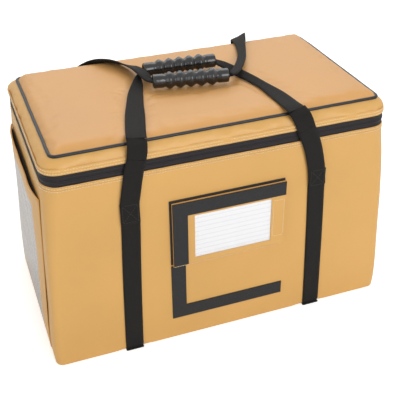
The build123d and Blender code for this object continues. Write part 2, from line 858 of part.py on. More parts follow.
for name, way in (("front", -1), ("rear", 1)):
    slider_y = slider_meet_y + way * slider_step
    with BuildPart() as slider:
        with Locations((outer_plate_x + slider_plate / 2, slider_y, zip_height)):
            Box(slider_plate, slider_length, slider_height)
        fillet(slider.edges().filter_by(Axis.X), radius=slider_round)
        with Locations((inner_plate_face - inner_plate / 2, slider_y, zip_height)):
            Box(inner_plate, slider_length, slider_height)
        with Locations((inner_plate_face + keel_depth / 2, slider_y, zip_height)):
            Box(keel_depth, keel_length, keel_thick)
        with Locations((outer_plate_face + bridge_reach / 2, slider_y, zip_height)):
            Box(bridge_reach, bridge_length, bridge_width)
        with Locations((outer_plate_face + bridge_opening / 2, slider_y, zip_height)):
            Box(bridge_opening, bridge_gap, bridge_width, mode=Mode.SUBTRACT)
    slider.part.label = f"{name}_slider"
    export_step(slider.part, f"parts/{name}_slider.step")

# ---- Pullers: flat tabs whose cross pin lies under the slider's bridge ------
for name, way in (("front", -1), ("rear", 1)):
    pin_y = slider_meet_y + way * (slider_step + pin_offset)
    with BuildPart() as puller:
        with BuildSketch(Plane.YZ.offset(pin_x - puller_thick / 2)):
            with Locations((pin_y + way * puller_mid, zip_height)):
                RectangleRounded(puller_length, puller_width, puller_rim)
            with Locations((pin_y + way * puller_slot_mid, zip_height)):
                Rectangle(
                    puller_slot,
                    bridge_width + 2 * puller_window_clear,
                    mode=Mode.SUBTRACT,
                )
            with Locations((pin_y + way * puller_hole_mid, zip_height)):
                Circle(puller_hole_radius, mode=Mode.SUBTRACT)
        extrude(amount=puller_thick)
        with Locations((pin_x, pin_y, zip_height)):
            Cylinder(puller_pin_radius, puller_width)
    puller.part.label = f"{name}_puller"
    export_step(puller.part, f"parts/{name}_puller.step")
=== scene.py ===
import math

import bmesh
import bpy
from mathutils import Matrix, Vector, noise


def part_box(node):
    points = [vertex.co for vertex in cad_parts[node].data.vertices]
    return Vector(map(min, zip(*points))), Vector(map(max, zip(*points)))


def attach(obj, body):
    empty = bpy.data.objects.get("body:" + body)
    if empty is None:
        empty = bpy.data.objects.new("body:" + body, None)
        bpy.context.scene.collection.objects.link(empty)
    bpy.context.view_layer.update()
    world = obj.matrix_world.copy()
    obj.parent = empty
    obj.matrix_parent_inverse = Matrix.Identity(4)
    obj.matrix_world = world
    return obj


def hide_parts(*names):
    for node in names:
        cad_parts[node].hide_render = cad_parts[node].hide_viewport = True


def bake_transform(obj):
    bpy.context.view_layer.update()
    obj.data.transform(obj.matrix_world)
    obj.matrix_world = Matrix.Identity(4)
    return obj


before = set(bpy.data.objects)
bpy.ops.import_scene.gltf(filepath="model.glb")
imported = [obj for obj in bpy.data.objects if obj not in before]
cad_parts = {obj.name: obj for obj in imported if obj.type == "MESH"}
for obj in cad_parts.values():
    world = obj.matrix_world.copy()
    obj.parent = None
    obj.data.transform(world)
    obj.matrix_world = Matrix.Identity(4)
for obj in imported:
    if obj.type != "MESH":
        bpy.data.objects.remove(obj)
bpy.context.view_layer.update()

# ====================
# The room: a white floor under soft boxes, and a camera at a standing person's
# height, a little to the left of the front.
scene = bpy.context.scene
scene.view_settings.view_transform = "Standard"

CAMERA_TARGET = Vector((0.01239, -0.00579, 0.1586))
CAMERA_AZIMUTH = math.radians(-19.83)
CAMERA_ELEVATION = math.radians(33.23)
CAMERA_ROLL = math.radians(-0.63)
CAMERA_DISTANCE = 1.38111
CAMERA_LENS = 69.68
SENSOR_WIDTH = 36
ROOM_WHITE = (1.0, 0.985, 0.97, 1)
ROOM_LIGHT = 0.50
FLOOR_GREY = (0.93, 0.93, 0.93)
FLOOR_LIFT = 0.50
WHITE = (1, 1, 1, 1)
UP = Vector((0, 0, 1))


def placed(name, data):
    """An object of the scene that holds some data."""
    made = bpy.data.objects.new(name, data)
    scene.collection.objects.link(made)
    return made


flat_back = Vector((math.sin(CAMERA_AZIMUTH), -math.cos(CAMERA_AZIMUTH), 0))
camera_back = flat_back * math.cos(CAMERA_ELEVATION) + UP * math.sin(CAMERA_ELEVATION)
camera = placed("camera", bpy.data.cameras.new("camera"))
camera.data.lens = CAMERA_LENS
camera.data.sensor_width = SENSOR_WIDTH
camera.location = CAMERA_TARGET + camera_back * CAMERA_DISTANCE
camera_turn = (-camera_back).to_track_quat("-Z", "Y").to_matrix().to_4x4()
camera.rotation_euler = (camera_turn @ camera_turn.Rotation(CAMERA_ROLL, 4, "Z")).to_euler()
scene.camera = camera


def soft_lamp(name, place, aim, size, watts):
    """A large soft box that faces a point of the carrier."""
    lamp = placed(name, bpy.data.lights.new(name, "AREA"))
    lamp.data.shape = "RECTANGLE"
    lamp.data.size, lamp.data.size_y = size
    lamp.data.energy = watts
    lamp.location = place
    lamp.rotation_euler = (Vector(aim) - Vector(place)).to_track_quat("-Z", "Y").to_euler()


soft_lamp("top_box", (0.2, 1.4, 1.9), (0, 0, 0.3), (2.2, 1.4), 15.5)
soft_lamp("front_box", (0.6, -2.2, 1.5), (0, 0, 0.2), (1.6, 1.2), 27)
soft_lamp("left_box", (-2.4, -0.6, 1.0), (0, 0, 0.2), (1.2, 1.4), 7)


def feed(node, *firsts, **others):
    """Sets a node's settings and sockets, or joins a socket to another node's."""
    for key, value in [*enumerate(firsts), *others.items()]:
        if hasattr(node, str(key)):
            setattr(node, key, value)
            continue
        socket = node.inputs[key if isinstance(key, int) else key.replace("_", " ")]
        if isinstance(value, bpy.types.NodeSocket):
            node.id_data.links.new(value, socket)
        else:
            socket.default_value = value
    return node


def add_node(tree, kind, *firsts, **others):
    """A new node, fed at once."""
    return feed(tree.nodes.new(kind), *firsts, **others)


def reckon(tree, operation, *values):
    """The result of one step of arithmetic on numbers and sockets."""
    return add_node(tree, "ShaderNodeMath", *values, operation=operation).outputs[0]


def plain_material(name, colour, roughness, **sockets):
    """A finish with even values, its tree and its main shader."""
    made = bpy.data.materials.new(name)
    made.use_nodes = True
    made.diffuse_color = (*colour, 1)
    shader = made.node_tree.nodes["Principled BSDF"]
    feed(shader, Base_Color=(*colour, 1), Roughness=roughness, **sockets)
    return made, made.node_tree, shader


world = bpy.data.worlds.new("room_light")
world.use_nodes = True
scene.world = world
room = world.node_tree
room.nodes.clear()
sky = add_node(room, "ShaderNodeBackground", ROOM_WHITE, ROOM_LIGHT)
white = add_node(room, "ShaderNodeBackground", WHITE)
eye = add_node(room, "ShaderNodeLightPath")
seen = eye.outputs["Is Camera Ray"]
for ray in ("Is Glossy Ray", "Is Transmission Ray"):
    seen = reckon(room, "MAXIMUM", seen, eye.outputs[ray])
shown = add_node(room, "ShaderNodeMixShader", seen, sky.outputs[0], white.outputs[0])
add_node(room, "ShaderNodeOutputWorld", shown.outputs[0])

floor_mesh = bpy.data.meshes.new("floor")
floor_mesh.from_pydata([(-6, -6, 0), (6, -6, 0), (6, 6, 0), (-6, 6, 0)], [], [(0, 1, 2, 3)])
floor = placed("floor", floor_mesh)
floor_paint, floor_tree, floor_shader = plain_material(
    "floor_paint", FLOOR_GREY, 0.9, Emission_Color=WHITE
)
floor_eye = add_node(floor_tree, "ShaderNodeLightPath")
floor_glow = reckon(floor_tree, "MULTIPLY", floor_eye.outputs["Is Camera Ray"], FLOOR_LIFT)
feed(floor_shader, Emission_Strength=floor_glow)
floor_mesh.materials.append(floor_paint)

# ====================
# Outer cover: coated polyester cloth, orange, sewn as one sleeve over the foam
# walls. It widens to the base, is full at the sides and round at the zip.
FABRIC_ORANGE = (0.745, 0.425, 0.128)
THREAD_PITCH = 0.0011


def relief(tree, height, strength, depth, **sockets):
    """The normal that a height in relief gives."""
    bump = add_node(tree, "ShaderNodeBump", Strength=strength, Distance=depth, Height=height)
    return feed(bump, **sockets).outputs["Normal"]


def mottle(tree, shader, colour, scale, spread, grain_scale, grain_depth, gloss):
    """Uneven colour and gloss at one scale and a fine grain in relief."""
    place = add_node(tree, "ShaderNodeTexCoord").outputs["Object"]
    cloudy = add_node(tree, "ShaderNodeTexNoise", Vector=place, Scale=scale, Detail=4.0, Roughness=0.55)
    clouds = cloudy.outputs["Fac"]
    ramp = add_node(tree, "ShaderNodeValToRGB", clouds)
    for stop, position, share in ((0, 0.3, 1 - spread), (1, 0.7, 1 + spread)):
        ramp.color_ramp.elements[stop].position = position
        shade = (min(1, c * share) for c in colour)
        ramp.color_ramp.elements[stop].color = (*shade, 1)
    shine = add_node(tree, "ShaderNodeMapRange", clouds, To_Min=gloss[0], To_Max=gloss[1])
    grain = add_node(tree, "ShaderNodeTexNoise", Vector=place, Scale=grain_scale, Detail=3.0)
    skin_normal = relief(tree, grain.outputs["Fac"], 0.35, grain_depth)
    feed(shader, Base_Color=ramp.outputs["Color"], Roughness=shine.outputs["Result"])
    feed(shader, Normal=skin_normal)
    return place, skin_normal


def threads(tree, along, pitch):
    """A wave for the threads that lie side by side along one value."""
    return reckon(tree, "SINE", reckon(tree, "MULTIPLY", along, 2 * math.pi / pitch))


def coated_fabric(name, colour):
    """Coated cloth: the fine woven base just shows through a satin skin."""
    made, tree, shader = plain_material(
        name, colour, 0.4, Specular_IOR_Level=0.40, Coat_Weight=0.10, Coat_Roughness=0.34
    )
    place, coat = mottle(tree, shader, colour, 5.5, 0.04, 900.0, 0.0002, (0.36, 0.48))
    split = add_node(tree, "ShaderNodeSeparateXYZ", place)
    warp = threads(tree, reckon(tree, "ADD", split.outputs["X"], split.outputs["Y"]), THREAD_PITCH)
    weft = threads(tree, split.outputs["Z"], THREAD_PITCH)
    weave = reckon(tree, "ADD", warp, weft)
    feed(shader, Normal=relief(tree, weave, 0.14, 0.00012, Normal=coat))
    return made


orange_fabric = coated_fabric("orange_coated_fabric", FABRIC_ORANGE)


def even_up(mesh, merge=0.0):
    """Joins points closer than a distance and turns the outer sides out."""
    work = bmesh.new()
    work.from_mesh(mesh)
    if merge:
        bmesh.ops.remove_doubles(work, verts=work.verts, dist=merge)
    bmesh.ops.recalc_face_normals(work, faces=work.faces)
    work.to_mesh(mesh)
    work.free()


def piece(name, vertices, faces, material, smooth=True):
    """A mesh object in the carrier's own frame."""
    mesh = bpy.data.meshes.new(name)
    mesh.from_pydata([tuple(v) for v in vertices], [], faces)
    mesh.validate()
    mesh.materials.append(material)
    even_up(mesh)
    if smooth:
        mesh.shade_smooth()
    return placed(name, mesh)


def grid_faces(rows, columns, closed_columns=False, closed_rows=False):
    """Quads over rows of points laid one after another."""
    faces = []
    for row in range(rows if closed_rows else rows - 1):
        here, up = row * columns, (row + 1) % rows * columns
        for column in range(columns if closed_columns else columns - 1):
            right = (column + 1) % columns
            faces.append((here + column, here + right, up + right, up + column))
    return faces


def rounded_outline(half_x, half_y, radius, long_steps=88, short_steps=50, corner=10):
    """Points and outward directions round a rounded rectangle, from the front left."""
    points = []
    run_x, run_y = half_x - radius, half_y - radius
    sides = (
        ((-run_x, -half_y), (run_x, -half_y), long_steps, (run_x, -run_y)),
        ((half_x, -run_y), (half_x, run_y), short_steps, (run_x, run_y)),
        ((run_x, half_y), (-run_x, half_y), long_steps, (-run_x, run_y)),
        ((-half_x, run_y), (-half_x, -run_y), short_steps, (-run_x, -run_y)),
    )
    for number, (start, end, steps, centre) in enumerate(sides):
        angles = [math.radians(90 * (number - 1) + 90 * step / corner) for step in range(corner)]
        out, *ways = [Vector((math.cos(angle), math.sin(angle))) for angle in angles]
        for step in range(steps + 1):
            points.append((Vector(start).lerp(Vector(end), step / steps), out))
        points += [(Vector(centre) + way * radius, way) for way in ways]
    return points


def cloth_wave(place, size, seed):
    """Smooth noise between -1 and 1 for a fold at a place."""
    return noise.noise(Vector(place) / size + Vector((seed, 0, 0)))


def clamped(value):
    """A value held between 0 and 1."""
    return max(0, min(1, value))


def raised(flat, height):
    """A point of the plan at a height."""
    return Vector((flat.x, flat.y, height))


def along_table(table, place):
    """Values read from a table at a place between two of its rows."""
    for low, high in zip(table, table[1:]):
        if place <= high[0]:
            share = max(0, (place - low[0]) / (high[0] - low[0]))
            return [a + (b - a) * share for a, b in zip(low[1:], high[1:])]
    return list(table[-1][1:])


zip_half_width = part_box("lid_band")[1].x
base_half_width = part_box("base_cover")[1].x
half_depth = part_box("base_cover")[1].y
base_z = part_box("base_cover")[0].z
cover_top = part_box("front_cover")[1].z
WALL_HEIGHT = 0.3294
# The hem at the zip turns in by this much, round corners of this radius, and
# strays up and down from this height on, by a noise with this seed.
TUCK_DEPTH = 0.010
TUCK_TURN = 0.027
SWAY_FROM = 0.3
BODY_SWAY = 9.5

# Height over the base seam, how far the sides and the front stand out past the
# straight wall, and the corner radius.
WALL_TABLE = (
    (0.0000, -0.0024, -0.0024, 0.012),
    (0.0005, -0.0009, -0.0010, 0.012),
    (0.0012, -0.0002, -0.0004, 0.012),
    (0.0030, 0.0003, -0.0002, 0.012),
    (0.0100, 0.0012, -0.0002, 0.012),
    (0.0300, 0.0024, -0.0002, 0.012),
    (0.0700, 0.0030, -0.0002, 0.012),
    (0.1200, 0.0022, -0.0002, 0.012),
    (0.2000, 0.0010, -0.0002, 0.013),
    (0.2500, 0.0005, -0.0002, 0.016),
    (0.2800, 0.0003, -0.0003, 0.020),
    (0.3050, 0.0001, -0.0004, 0.025),
    (0.3200, 0.0000, -0.0004, 0.028),
    (0.3290, -0.0001, -0.0004, 0.028),
    (0.3335, -0.0003, -0.0005, 0.028),
    (0.3345, -0.0007, -0.0009, 0.028),
)


def cover_wall(height):
    """Half width, half depth and corner radius of the cover at a height."""
    side_out, front_out, radius = along_table(WALL_TABLE, height)
    flare = (base_half_width - zip_half_width) * max(0, 1 - height / WALL_HEIGHT)
    return zip_half_width + flare + side_out, half_depth + front_out, radius


def hem_sway(flat, seed):
    """How far a hem strays up or down: most along the left side, hardly in front."""
    left = clamped((-flat.x - 0.250) / 0.02)
    return (0.0002 + 0.0009 * left) * cloth_wave((flat.x, flat.y, 0), 0.022, seed)


def hang_under(x):
    """How far the base seam hangs down beside the straps that run under it."""
    return 0.0016 * clamped((abs(abs(x) - 0.160) - 0.018) / 0.015)


heights = [0.0, 0.0005, 0.0012, 0.003, 0.006, 0.010, 0.016]
heights += [0.024 + 0.0098 * step for step in range(30)]
heights += [0.3135, 0.318, 0.322, 0.3255, 0.3285, 0.3305, 0.3325, 0.3345]
cover_points = []
for height in heights:
    half_x, half_y, radius = cover_wall(height)
    ring = rounded_outline(half_x, half_y, radius)
    for flat, out in ring:
        place = raised(flat, base_z + height)
        near_zip = clamped((height - 0.285) / 0.035)
        pucker = cloth_wave((place.x, place.y, place.z * 0.3), 0.020, 3.1)
        low_fold = cloth_wave((place.x * 0.9, place.y, place.z * 0.4), 0.042, 6.2)
        push = -0.0008 * near_zip * (0.3 + pucker)
        free = clamped((abs(place.x) - 0.178) / 0.02) * (1 - near_zip)
        push += 0.0016 * free * low_fold * abs(out.y) * (0.55 if low_fold < 0 else 1)
        push += 0.0019 * out.x**2 * cloth_wave(place, 0.11, 8.4) * (1 - near_zip)
        push += 0.0006 * out.x**2 * low_fold
        clear_of_base = min(1, height / 0.02)
        place.x += out.x * push * clear_of_base
        place.y += out.y * push * clear_of_base
        place.z -= hang_under(flat.x) * max(0, 1 - height / 0.006)
        sway_share = max(0, height - SWAY_FROM) / (heights[-1] - SWAY_FROM)
        place.z += hem_sway(flat, BODY_SWAY) * sway_share
        cover_points.append(place)
for drop in (0, TUCK_DEPTH):
    for flat, out in rounded_outline(zip_half_width - 0.0010, half_depth - 0.0010, TUCK_TURN):
        sway = hem_sway(flat, BODY_SWAY) * (1 - drop / TUCK_DEPTH)
        cover_points.append(raised(flat, cover_top - drop + sway))
body_faces = grid_faces(len(heights) + 2, len(ring), closed_columns=True)
body_faces.append(tuple(reversed(range(len(ring)))))
body_cover = piece("body_cover", cover_points, body_faces, orange_fabric)
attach(body_cover, "carrier")
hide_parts("base_cover", "front_cover", "rear_cover", "left_cover", "right_cover")

# ====================
# Lid cover: a band of the same cloth round the foam and a top panel, joined at
# the piping. Both are cut full, so air and foam swell them between the seams.
band_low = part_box("lid_band")[0].z
piping_low, piping_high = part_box("lid_piping")
piping_z = (piping_high.z + piping_low.z) / 2

# The four corners of the piping's line: hand sewing leaves it a little askew.
PIPING_CORNERS = ((-0.2590, -0.1470), (0.2650, -0.1430), (0.2620, 0.1390), (-0.2605, 0.1405))
PIPING_TURN = 0.010
PIPING_HALF_X = 0.2616
PIPING_HALF_Y = 0.1424
# The band: the part of the way up it, and the part of the way in to the piping.
BAND_TABLE = (
    (0.00, 0.000), (0.12, 0.008), (0.28, 0.045), (0.44, 0.120),
    (0.60, 0.235), (0.74, 0.390), (0.88, 0.640), (1.00, 1.000),
)


def piping_ring(inset=0.0, turn=PIPING_TURN):
    """The line inside the piping by an inset, with tight corners, and its outward ways."""
    ring = []
    front_left, front_right, rear_right, rear_left = (Vector(spot) for spot in PIPING_CORNERS)
    half_x, half_y = PIPING_HALF_X - inset, PIPING_HALF_Y - inset
    for flat, out in rounded_outline(half_x, half_y, turn):
        share_x = (flat.x / PIPING_HALF_X + 1) / 2
        share_y = (flat.y / PIPING_HALF_Y + 1) / 2
        front = front_left.lerp(front_right, share_x)
        rear = rear_left.lerp(rear_right, share_x)
        ring.append((front.lerp(rear, share_y), out))
    return ring


def piping_height(y):
    """The piping's height: it dips along the rear edge, where the panel swells over it."""
    return piping_z - 0.0016 * clamped((y - 0.09) / 0.05)


def ease_cloth(cloth, held, pressure, fullness, most):
    """Lets a cloth swell off its foam between held points, no further than most."""
    seam = cloth.vertex_groups.new(name="seam")
    seam.add(held, 1.0, "REPLACE")
    ease = cloth.modifiers.new("ease", "CLOTH")
    ease.settings.vertex_group_mass = "seam"
    ease.settings.use_pressure = True
    ease.settings.uniform_pressure_force = pressure
    ease.settings.shrink_min = -fullness
    ease.settings.quality = 5
    ease.settings.mass = 0.2
    ease.settings.tension_stiffness = 25
    ease.settings.compression_stiffness = 25
    ease.settings.shear_stiffness = 8
    ease.settings.bending_stiffness = 0.3
    ease.settings.air_damping = 4
    ease.settings.effector_weights.gravity = 0
    for step in range(1, 21):
        scene.frame_set(step)
    settled = cloth.evaluated_get(bpy.context.evaluated_depsgraph_get()).to_mesh()
    pushes = [end.co - start.co for start, end in zip(cloth.data.vertices, settled.vertices)]
    cloth.modifiers.remove(ease)
    scene.frame_set(1)
    for vertex, push in zip(cloth.data.vertices, pushes):
        push *= min(1, most / max(push.length, 1e-9))
        vertex.co += push - vertex.normal * min(0, push.dot(vertex.normal))


def round_off(cloth):
    """One level of subdivision, so the folds read as curves."""
    smooth = cloth.modifiers.new("smooth", "SUBSURF")
    smooth.levels = smooth.render_levels = 1


LID_SWAY = 4.5
HEM_TURN = 0.028
SEAM_DROP = 0.0005
band_rise = piping_z - SEAM_DROP - band_low
hem_ring = rounded_outline(zip_half_width - 0.0004, half_depth - 0.0004, HEM_TURN)
tuck_ring = rounded_outline(zip_half_width - 0.0012, half_depth - 0.0012, TUCK_TURN)
band_points = []
for rise in (TUCK_DEPTH, 0.0):
    for flat, out in tuck_ring:
        sway = hem_sway(flat, LID_SWAY) * (1 - rise / TUCK_DEPTH)
        band_points.append(raised(flat, band_low + rise + sway))
band_shares = [0, 0.05, 0.12, 0.22, 0.33, 0.44, 0.55, 0.66, 0.77, 0.88, 1.0]
for share in band_shares:
    inward = along_table(BAND_TABLE, share)[0]
    for (flat, out), (edge, _) in zip(hem_ring, piping_ring()):
        spot = flat.lerp(edge, inward)
        swell = math.sin(math.pi * clamped(share * 1.1 - 0.08))
        bay = cloth_wave((spot.x, spot.y, 0), 0.030, 5.2)
        pucker = cloth_wave((spot.x, spot.y, 0), 0.014, 1.7)
        spot = spot + out * swell * (0.0024 * bay + 0.0010 * pucker)
        rise = band_low + share * band_rise + hem_sway(flat, LID_SWAY) * max(0, 1 - share * 2)
        rise -= share * (piping_z - piping_height(edge.y))
        band_points.append(raised(spot, rise))
columns = len(hem_ring)
band_rows = len(band_shares) + 2
band_faces = grid_faces(band_rows, columns, closed_columns=True)
band_cover = piece("lid_band_cover", band_points, band_faces, orange_fabric)
band_held = [*range(5 * columns), *range((band_rows - 1) * columns, band_rows * columns)]
ease_cloth(band_cover, band_held, 3.0, 0.02, 0.0016)
round_off(band_cover)
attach(band_cover, "lid")
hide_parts("lid_band")

# The panel: how far in from the piping, and how high it stands there over the seam.
PANEL_TABLE = (
    (0.000, 0.0000), (0.003, 0.0012), (0.006, 0.0036), (0.009, 0.0056),
    (0.012, 0.0072), (0.016, 0.0082), (0.022, 0.0088), (0.032, 0.0091), (0.150, 0.0091),
)


def pressed(spot):
    """How much the grips and their webbing press on the panel at a place, 0 to 1."""
    under_grips = max(0, 1 - abs(spot.x) / 0.16) * max(0, 1 - abs(spot.y - 0.012) / 0.085)
    under_left = max(0, 1 - abs(spot.x + 0.116 + (spot.y + 0.08) * -0.24) / 0.040)
    under_right = max(0, 1 - abs(spot.x - 0.112 - (spot.y + 0.08) * -0.26) / 0.040)
    lines = max(under_left, under_right) * clamped((0.03 - spot.y) / 0.05)
    return clamped(max(under_grips * 2, lines * 1.6))


insets = [0.0, 0.002, 0.004, 0.006, 0.009, 0.012, 0.016, 0.021, 0.027]
insets += [0.027 + (PIPING_HALF_Y - 0.027) * step / 22 for step in range(1, 23)]
panel_points = []
for inset in insets:
    turn = max(0.001, PIPING_TURN - inset * 0.5) * (inset < PIPING_HALF_Y)
    for flat, out in piping_ring(inset, turn):
        swollen = 1 + 0.5 * clamped(max((flat.y - 0.03) / 0.09, (flat.x - 0.15) / 0.09))
        lift = along_table(PANEL_TABLE, inset * swollen)[0] * (1 + 0.3 * (swollen - 1))
        near_edge = max(0, 1 - abs(inset - 0.009) / 0.016) * min(1, inset / 0.004)
        pucker = cloth_wave((flat.x, flat.y, 0), 0.0125, 7.7)
        bay = cloth_wave((flat.x * 0.8, flat.y * 1.2, 0), 0.085, 2.2)
        inner = min(1, inset / 0.03)
        press = pressed(flat)
        rise = lift + 0.0011 * near_edge * pucker + 0.0010 * inner * bay * (1 - press)
        rise -= 0.0020 * inner * press
        seam_dip = (piping_z - piping_height(flat.y)) * max(0, 1 - inset / 0.012)
        panel_points.append(raised(flat, piping_z - SEAM_DROP + rise - seam_dip))
# The panel takes the wall cloth's colour shifted pinker: a painted sheen for the light that falls on
# the lid's top.
LID_ORANGE_PAINTED_SHEEN = (0.745, 0.394, 0.133)
lid_fabric_painted_sheen = coated_fabric("lid_coated_fabric_painted_sheen", LID_ORANGE_PAINTED_SHEEN)
panel_faces = grid_faces(len(insets), columns, closed_columns=True)
top_panel = piece("lid_top_panel", panel_points, panel_faces, lid_fabric_painted_sheen)
even_up(top_panel.data, merge=1e-5)
if top_panel.data.polygons[-1].normal.z < 0:
    top_panel.data.flip_normals()
panel_held = [
    vertex.index
    for vertex in top_panel.data.vertices
    if vertex.co.z < piping_z - 0.0004 or pressed(vertex.co) > 0.75
]
ease_cloth(top_panel, panel_held, 4.0, 0.015, 0.0020)
round_off(top_panel)
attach(top_panel, "lid")
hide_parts("lid_top_cover")

# ====================
# Piping: a vinyl cord sewn into the lid's top seam all the way round. It is
# dark grey and glossy, and waves slightly between the stitches.
PIPING_GREY = (0.018, 0.022, 0.026)
PIPING_WAVE = 0.0004
CORD_SHARE = 0.86
piping_radius = (piping_high.z - piping_low.z) / 2


def mottled_material(name, colour, roughness, *mottling, **sockets):
    """A finish whose colour, gloss and grain vary over the piece."""
    made, tree, shader = plain_material(name, colour, roughness, **sockets)
    mottle(tree, shader, colour, *mottling)
    return made


piping_vinyl = mottled_material(
    "piping_vinyl", PIPING_GREY, 0.4, 60.0, 0.25, 1500.0, 0.0002, (0.28, 0.42),
    Specular_IOR_Level=0.35,
)


def spokes(centre, side, up, radius, count, start=0.0):
    """Even points on a circle round a centre."""
    angles = [start + 2 * math.pi * step / count for step in range(count)]
    return [centre + (side * math.cos(angle) + up * math.sin(angle)) * radius for angle in angles]


def skin(rings, closed=False):
    """Points and faces through rings of one count, capped where they are open."""
    columns = len(rings[0])
    points = [point for ring in rings for point in ring]
    faces = grid_faces(len(rings), columns, closed_columns=True, closed_rows=closed)
    if not closed:
        faces.append(tuple(reversed(range(columns))))
        faces.append(tuple(range(len(points) - columns, len(points))))
    return points, faces


def tube(name, path, radius, material, sides=8, closed=False):
    """A round cord along a path, with no twist, capped where it is open."""
    rings = []
    for index, here in enumerate(path):
        before = path[index - 1] if closed or index else here
        after = path[(index + 1) % len(path)] if closed or index < len(path) - 1 else here
        along = (after - before).normalized()
        side = along.cross(UP).normalized()
        rings.append(spokes(here, side, side.cross(along), radius, sides))
    return piece(name, *skin(rings, closed), material)


piping_path = []
for flat, out in piping_ring():
    edge = flat + out * cloth_wave((flat.x, flat.y, 0), 0.03, 11.0) * PIPING_WAVE
    piping_path.append(raised(edge, piping_height(edge.y)))
piping = tube("lid_edge_piping", piping_path, piping_radius * CORD_SHARE, piping_vinyl, 12, True)
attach(piping, "lid")
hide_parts("lid_piping")

# ====================
# Zip: two woven tapes with raised lines along them, sewn in behind the hems, and
# a nylon coil on the inside whose halves mesh at the slot.
TAPE_BLACK = (0.016, 0.012, 0.014)
tape_cloth = mottled_material(
    "zip_tape_weave", TAPE_BLACK, 0.6, 80.0, 0.2, 2500.0, 0.0003, (0.5, 0.7),
    Specular_IOR_Level=0.3, Sheen_Weight=0.06,
)
COIL_BLACK = (0.015, 0.015, 0.016)
coil_nylon = mottled_material(
    "zip_coil_nylon", COIL_BLACK, 0.35, 90.0, 0.2, 1800.0, 0.0001, (0.25, 0.4),
    Specular_IOR_Level=0.5,
)

tape_end_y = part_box("body_zip_tape")[1].y
zip_z = (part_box("body_zip_tape")[1].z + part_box("lid_zip_tape")[0].z) / 2
TAPE_TUCK = 0.0018
TAPE_INSET = 0.0020
TAPE_TURN = 0.0260
TAPE_CORD_RADIUS = 0.0009
TAPE_LINE_PITCH = 0.0045
TAPE_STEPS = 25
COIL_PITCH = 0.0016
COIL_WIRE_RADIUS = 0.00034
# One loop of the coil: how far it reaches to the slot, and how far it stands in or out.
COIL_HOOK = (
    (0.0, 0.0007), (0.0014, 0.0012), (0.0026, 0.0008), (0.0030, 0.0),
    (0.0026, -0.0008), (0.0014, -0.0012), (0.0, -0.0007),
)


def zip_run(inset, radius, spacing):
    """The zip's line from the rear left, round the front, to the rear right."""
    half_x = zip_half_width - inset
    ring = rounded_outline(half_x, half_depth - inset, radius, 2, 2, 24)
    corners = [flat for flat, out in ring if flat.y < tape_end_y - 0.001]
    corners.sort(key=lambda flat: math.atan2(flat.x, -flat.y))
    corners = [Vector((-half_x, tape_end_y)), *corners, Vector((half_x, tape_end_y))]
    run = [corners[0]]
    for here, there in zip(corners, corners[1:]):
        count = max(1, round((there - here).length / spacing))
        run += [here.lerp(there, step / count) for step in range(1, count + 1)]
    ways = []
    for index in range(len(run)):
        along = run[min(len(run) - 1, index + 1)] - run[max(0, index - 1)]
        ways.append(Vector((along.y, -along.x)).normalized())
    return run, ways


def thicken(cloth, thickness, offset=-1):
    """Gives a single layer its thickness, inward unless an offset says otherwise."""
    layer = cloth.modifiers.new("thickness", "SOLIDIFY")
    layer.thickness = thickness
    layer.offset = offset


def zip_tape(name, low, high, cord_z, body, node):
    """One half of the tape: three raised lines, and the corded edge at the slot."""
    run, ways = zip_run(TAPE_INSET, TAPE_TURN, 0.006)
    points = []
    for flat, out in zip(run, ways):
        for step in range(TAPE_STEPS):
            rise = low + (high - low) * step / (TAPE_STEPS - 1)
            lines = 0.0006 * math.sin((rise - zip_z) / TAPE_LINE_PITCH * math.pi) ** 2
            points.append(raised(flat + out * lines, rise))
    tape = piece(name, points, grid_faces(len(run), TAPE_STEPS), tape_cloth)
    thicken(tape, 0.0006)
    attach(tape, body)
    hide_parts(node)
    slot_path = [raised(flat + out * 0.0002, cord_z) for flat, out in zip(run, ways)]
    edge = tube(name + "_edge", slot_path, TAPE_CORD_RADIUS, tape_cloth)
    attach(edge, body)


def gathered(parts):
    """The points and faces of many small parts as one set."""
    points = []
    faces = []
    for part_points, part_faces in parts:
        start = len(points)
        points += part_points
        faces += [tuple(start + corner for corner in face) for face in part_faces]
    return points, faces


def zip_coil(name, centre_z, way, body, node):
    """One half of the coil: small hooked loops behind the tape."""
    run, ways = zip_run(TAPE_INSET + 0.0016, TAPE_TURN - 0.0016, COIL_PITCH)
    loops = []
    for flat, out in zip(run, ways):
        along = Vector((-out.y, out.x, 0))
        rings = []
        for rise, depth in COIL_HOOK:
            spot = flat - out * depth + along.xy * (rise * 0.12)
            centre = raised(spot, centre_z - way * (COIL_PITCH - rise))
            rings.append(spokes(centre, along, UP * way, COIL_WIRE_RADIUS, 4, math.pi / 4))
        loops.append(skin(rings))
    coil = piece(name, *gathered(loops), coil_nylon, smooth=False)
    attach(coil, body)
    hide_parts(node)


zip_tape(
    "body_tape", cover_top - TAPE_TUCK, zip_z - 0.0008, zip_z - 0.0010, "carrier", "body_zip_tape"
)
zip_tape("lid_tape", zip_z + 0.0008, band_low + TAPE_TUCK, zip_z + 0.0010, "lid", "lid_zip_tape")
zip_coil("body_coil", zip_z - 0.0006, 1, "carrier", "body_zip_coil")
zip_coil("lid_coil", zip_z + 0.0006, -1, "lid", "lid_zip_coil")

# ====================
# Zip stitching: two rows of cream polyester lockstitch through each hem, 3 mm
# stitches sunk slightly into the coated cloth.
CREAM = (0.93, 0.78, 0.52)
cream_thread = mottled_material(
    "cream_thread", CREAM, 0.6, 300.0, 0.12, 3000.0, 0.0002, (0.5, 0.7), Sheen_Weight=0.2
)
STITCH_LENGTH = 0.0030
STITCH_GAP = 0.0011
# Along a stitch: the part of its length, its height and width in thread radii.
STITCH_HUMP = ((0, -0.6, 0.7), (0.2, 0.6, 1), (0.8, 0.6, 1), (1, -0.6, 0.7))


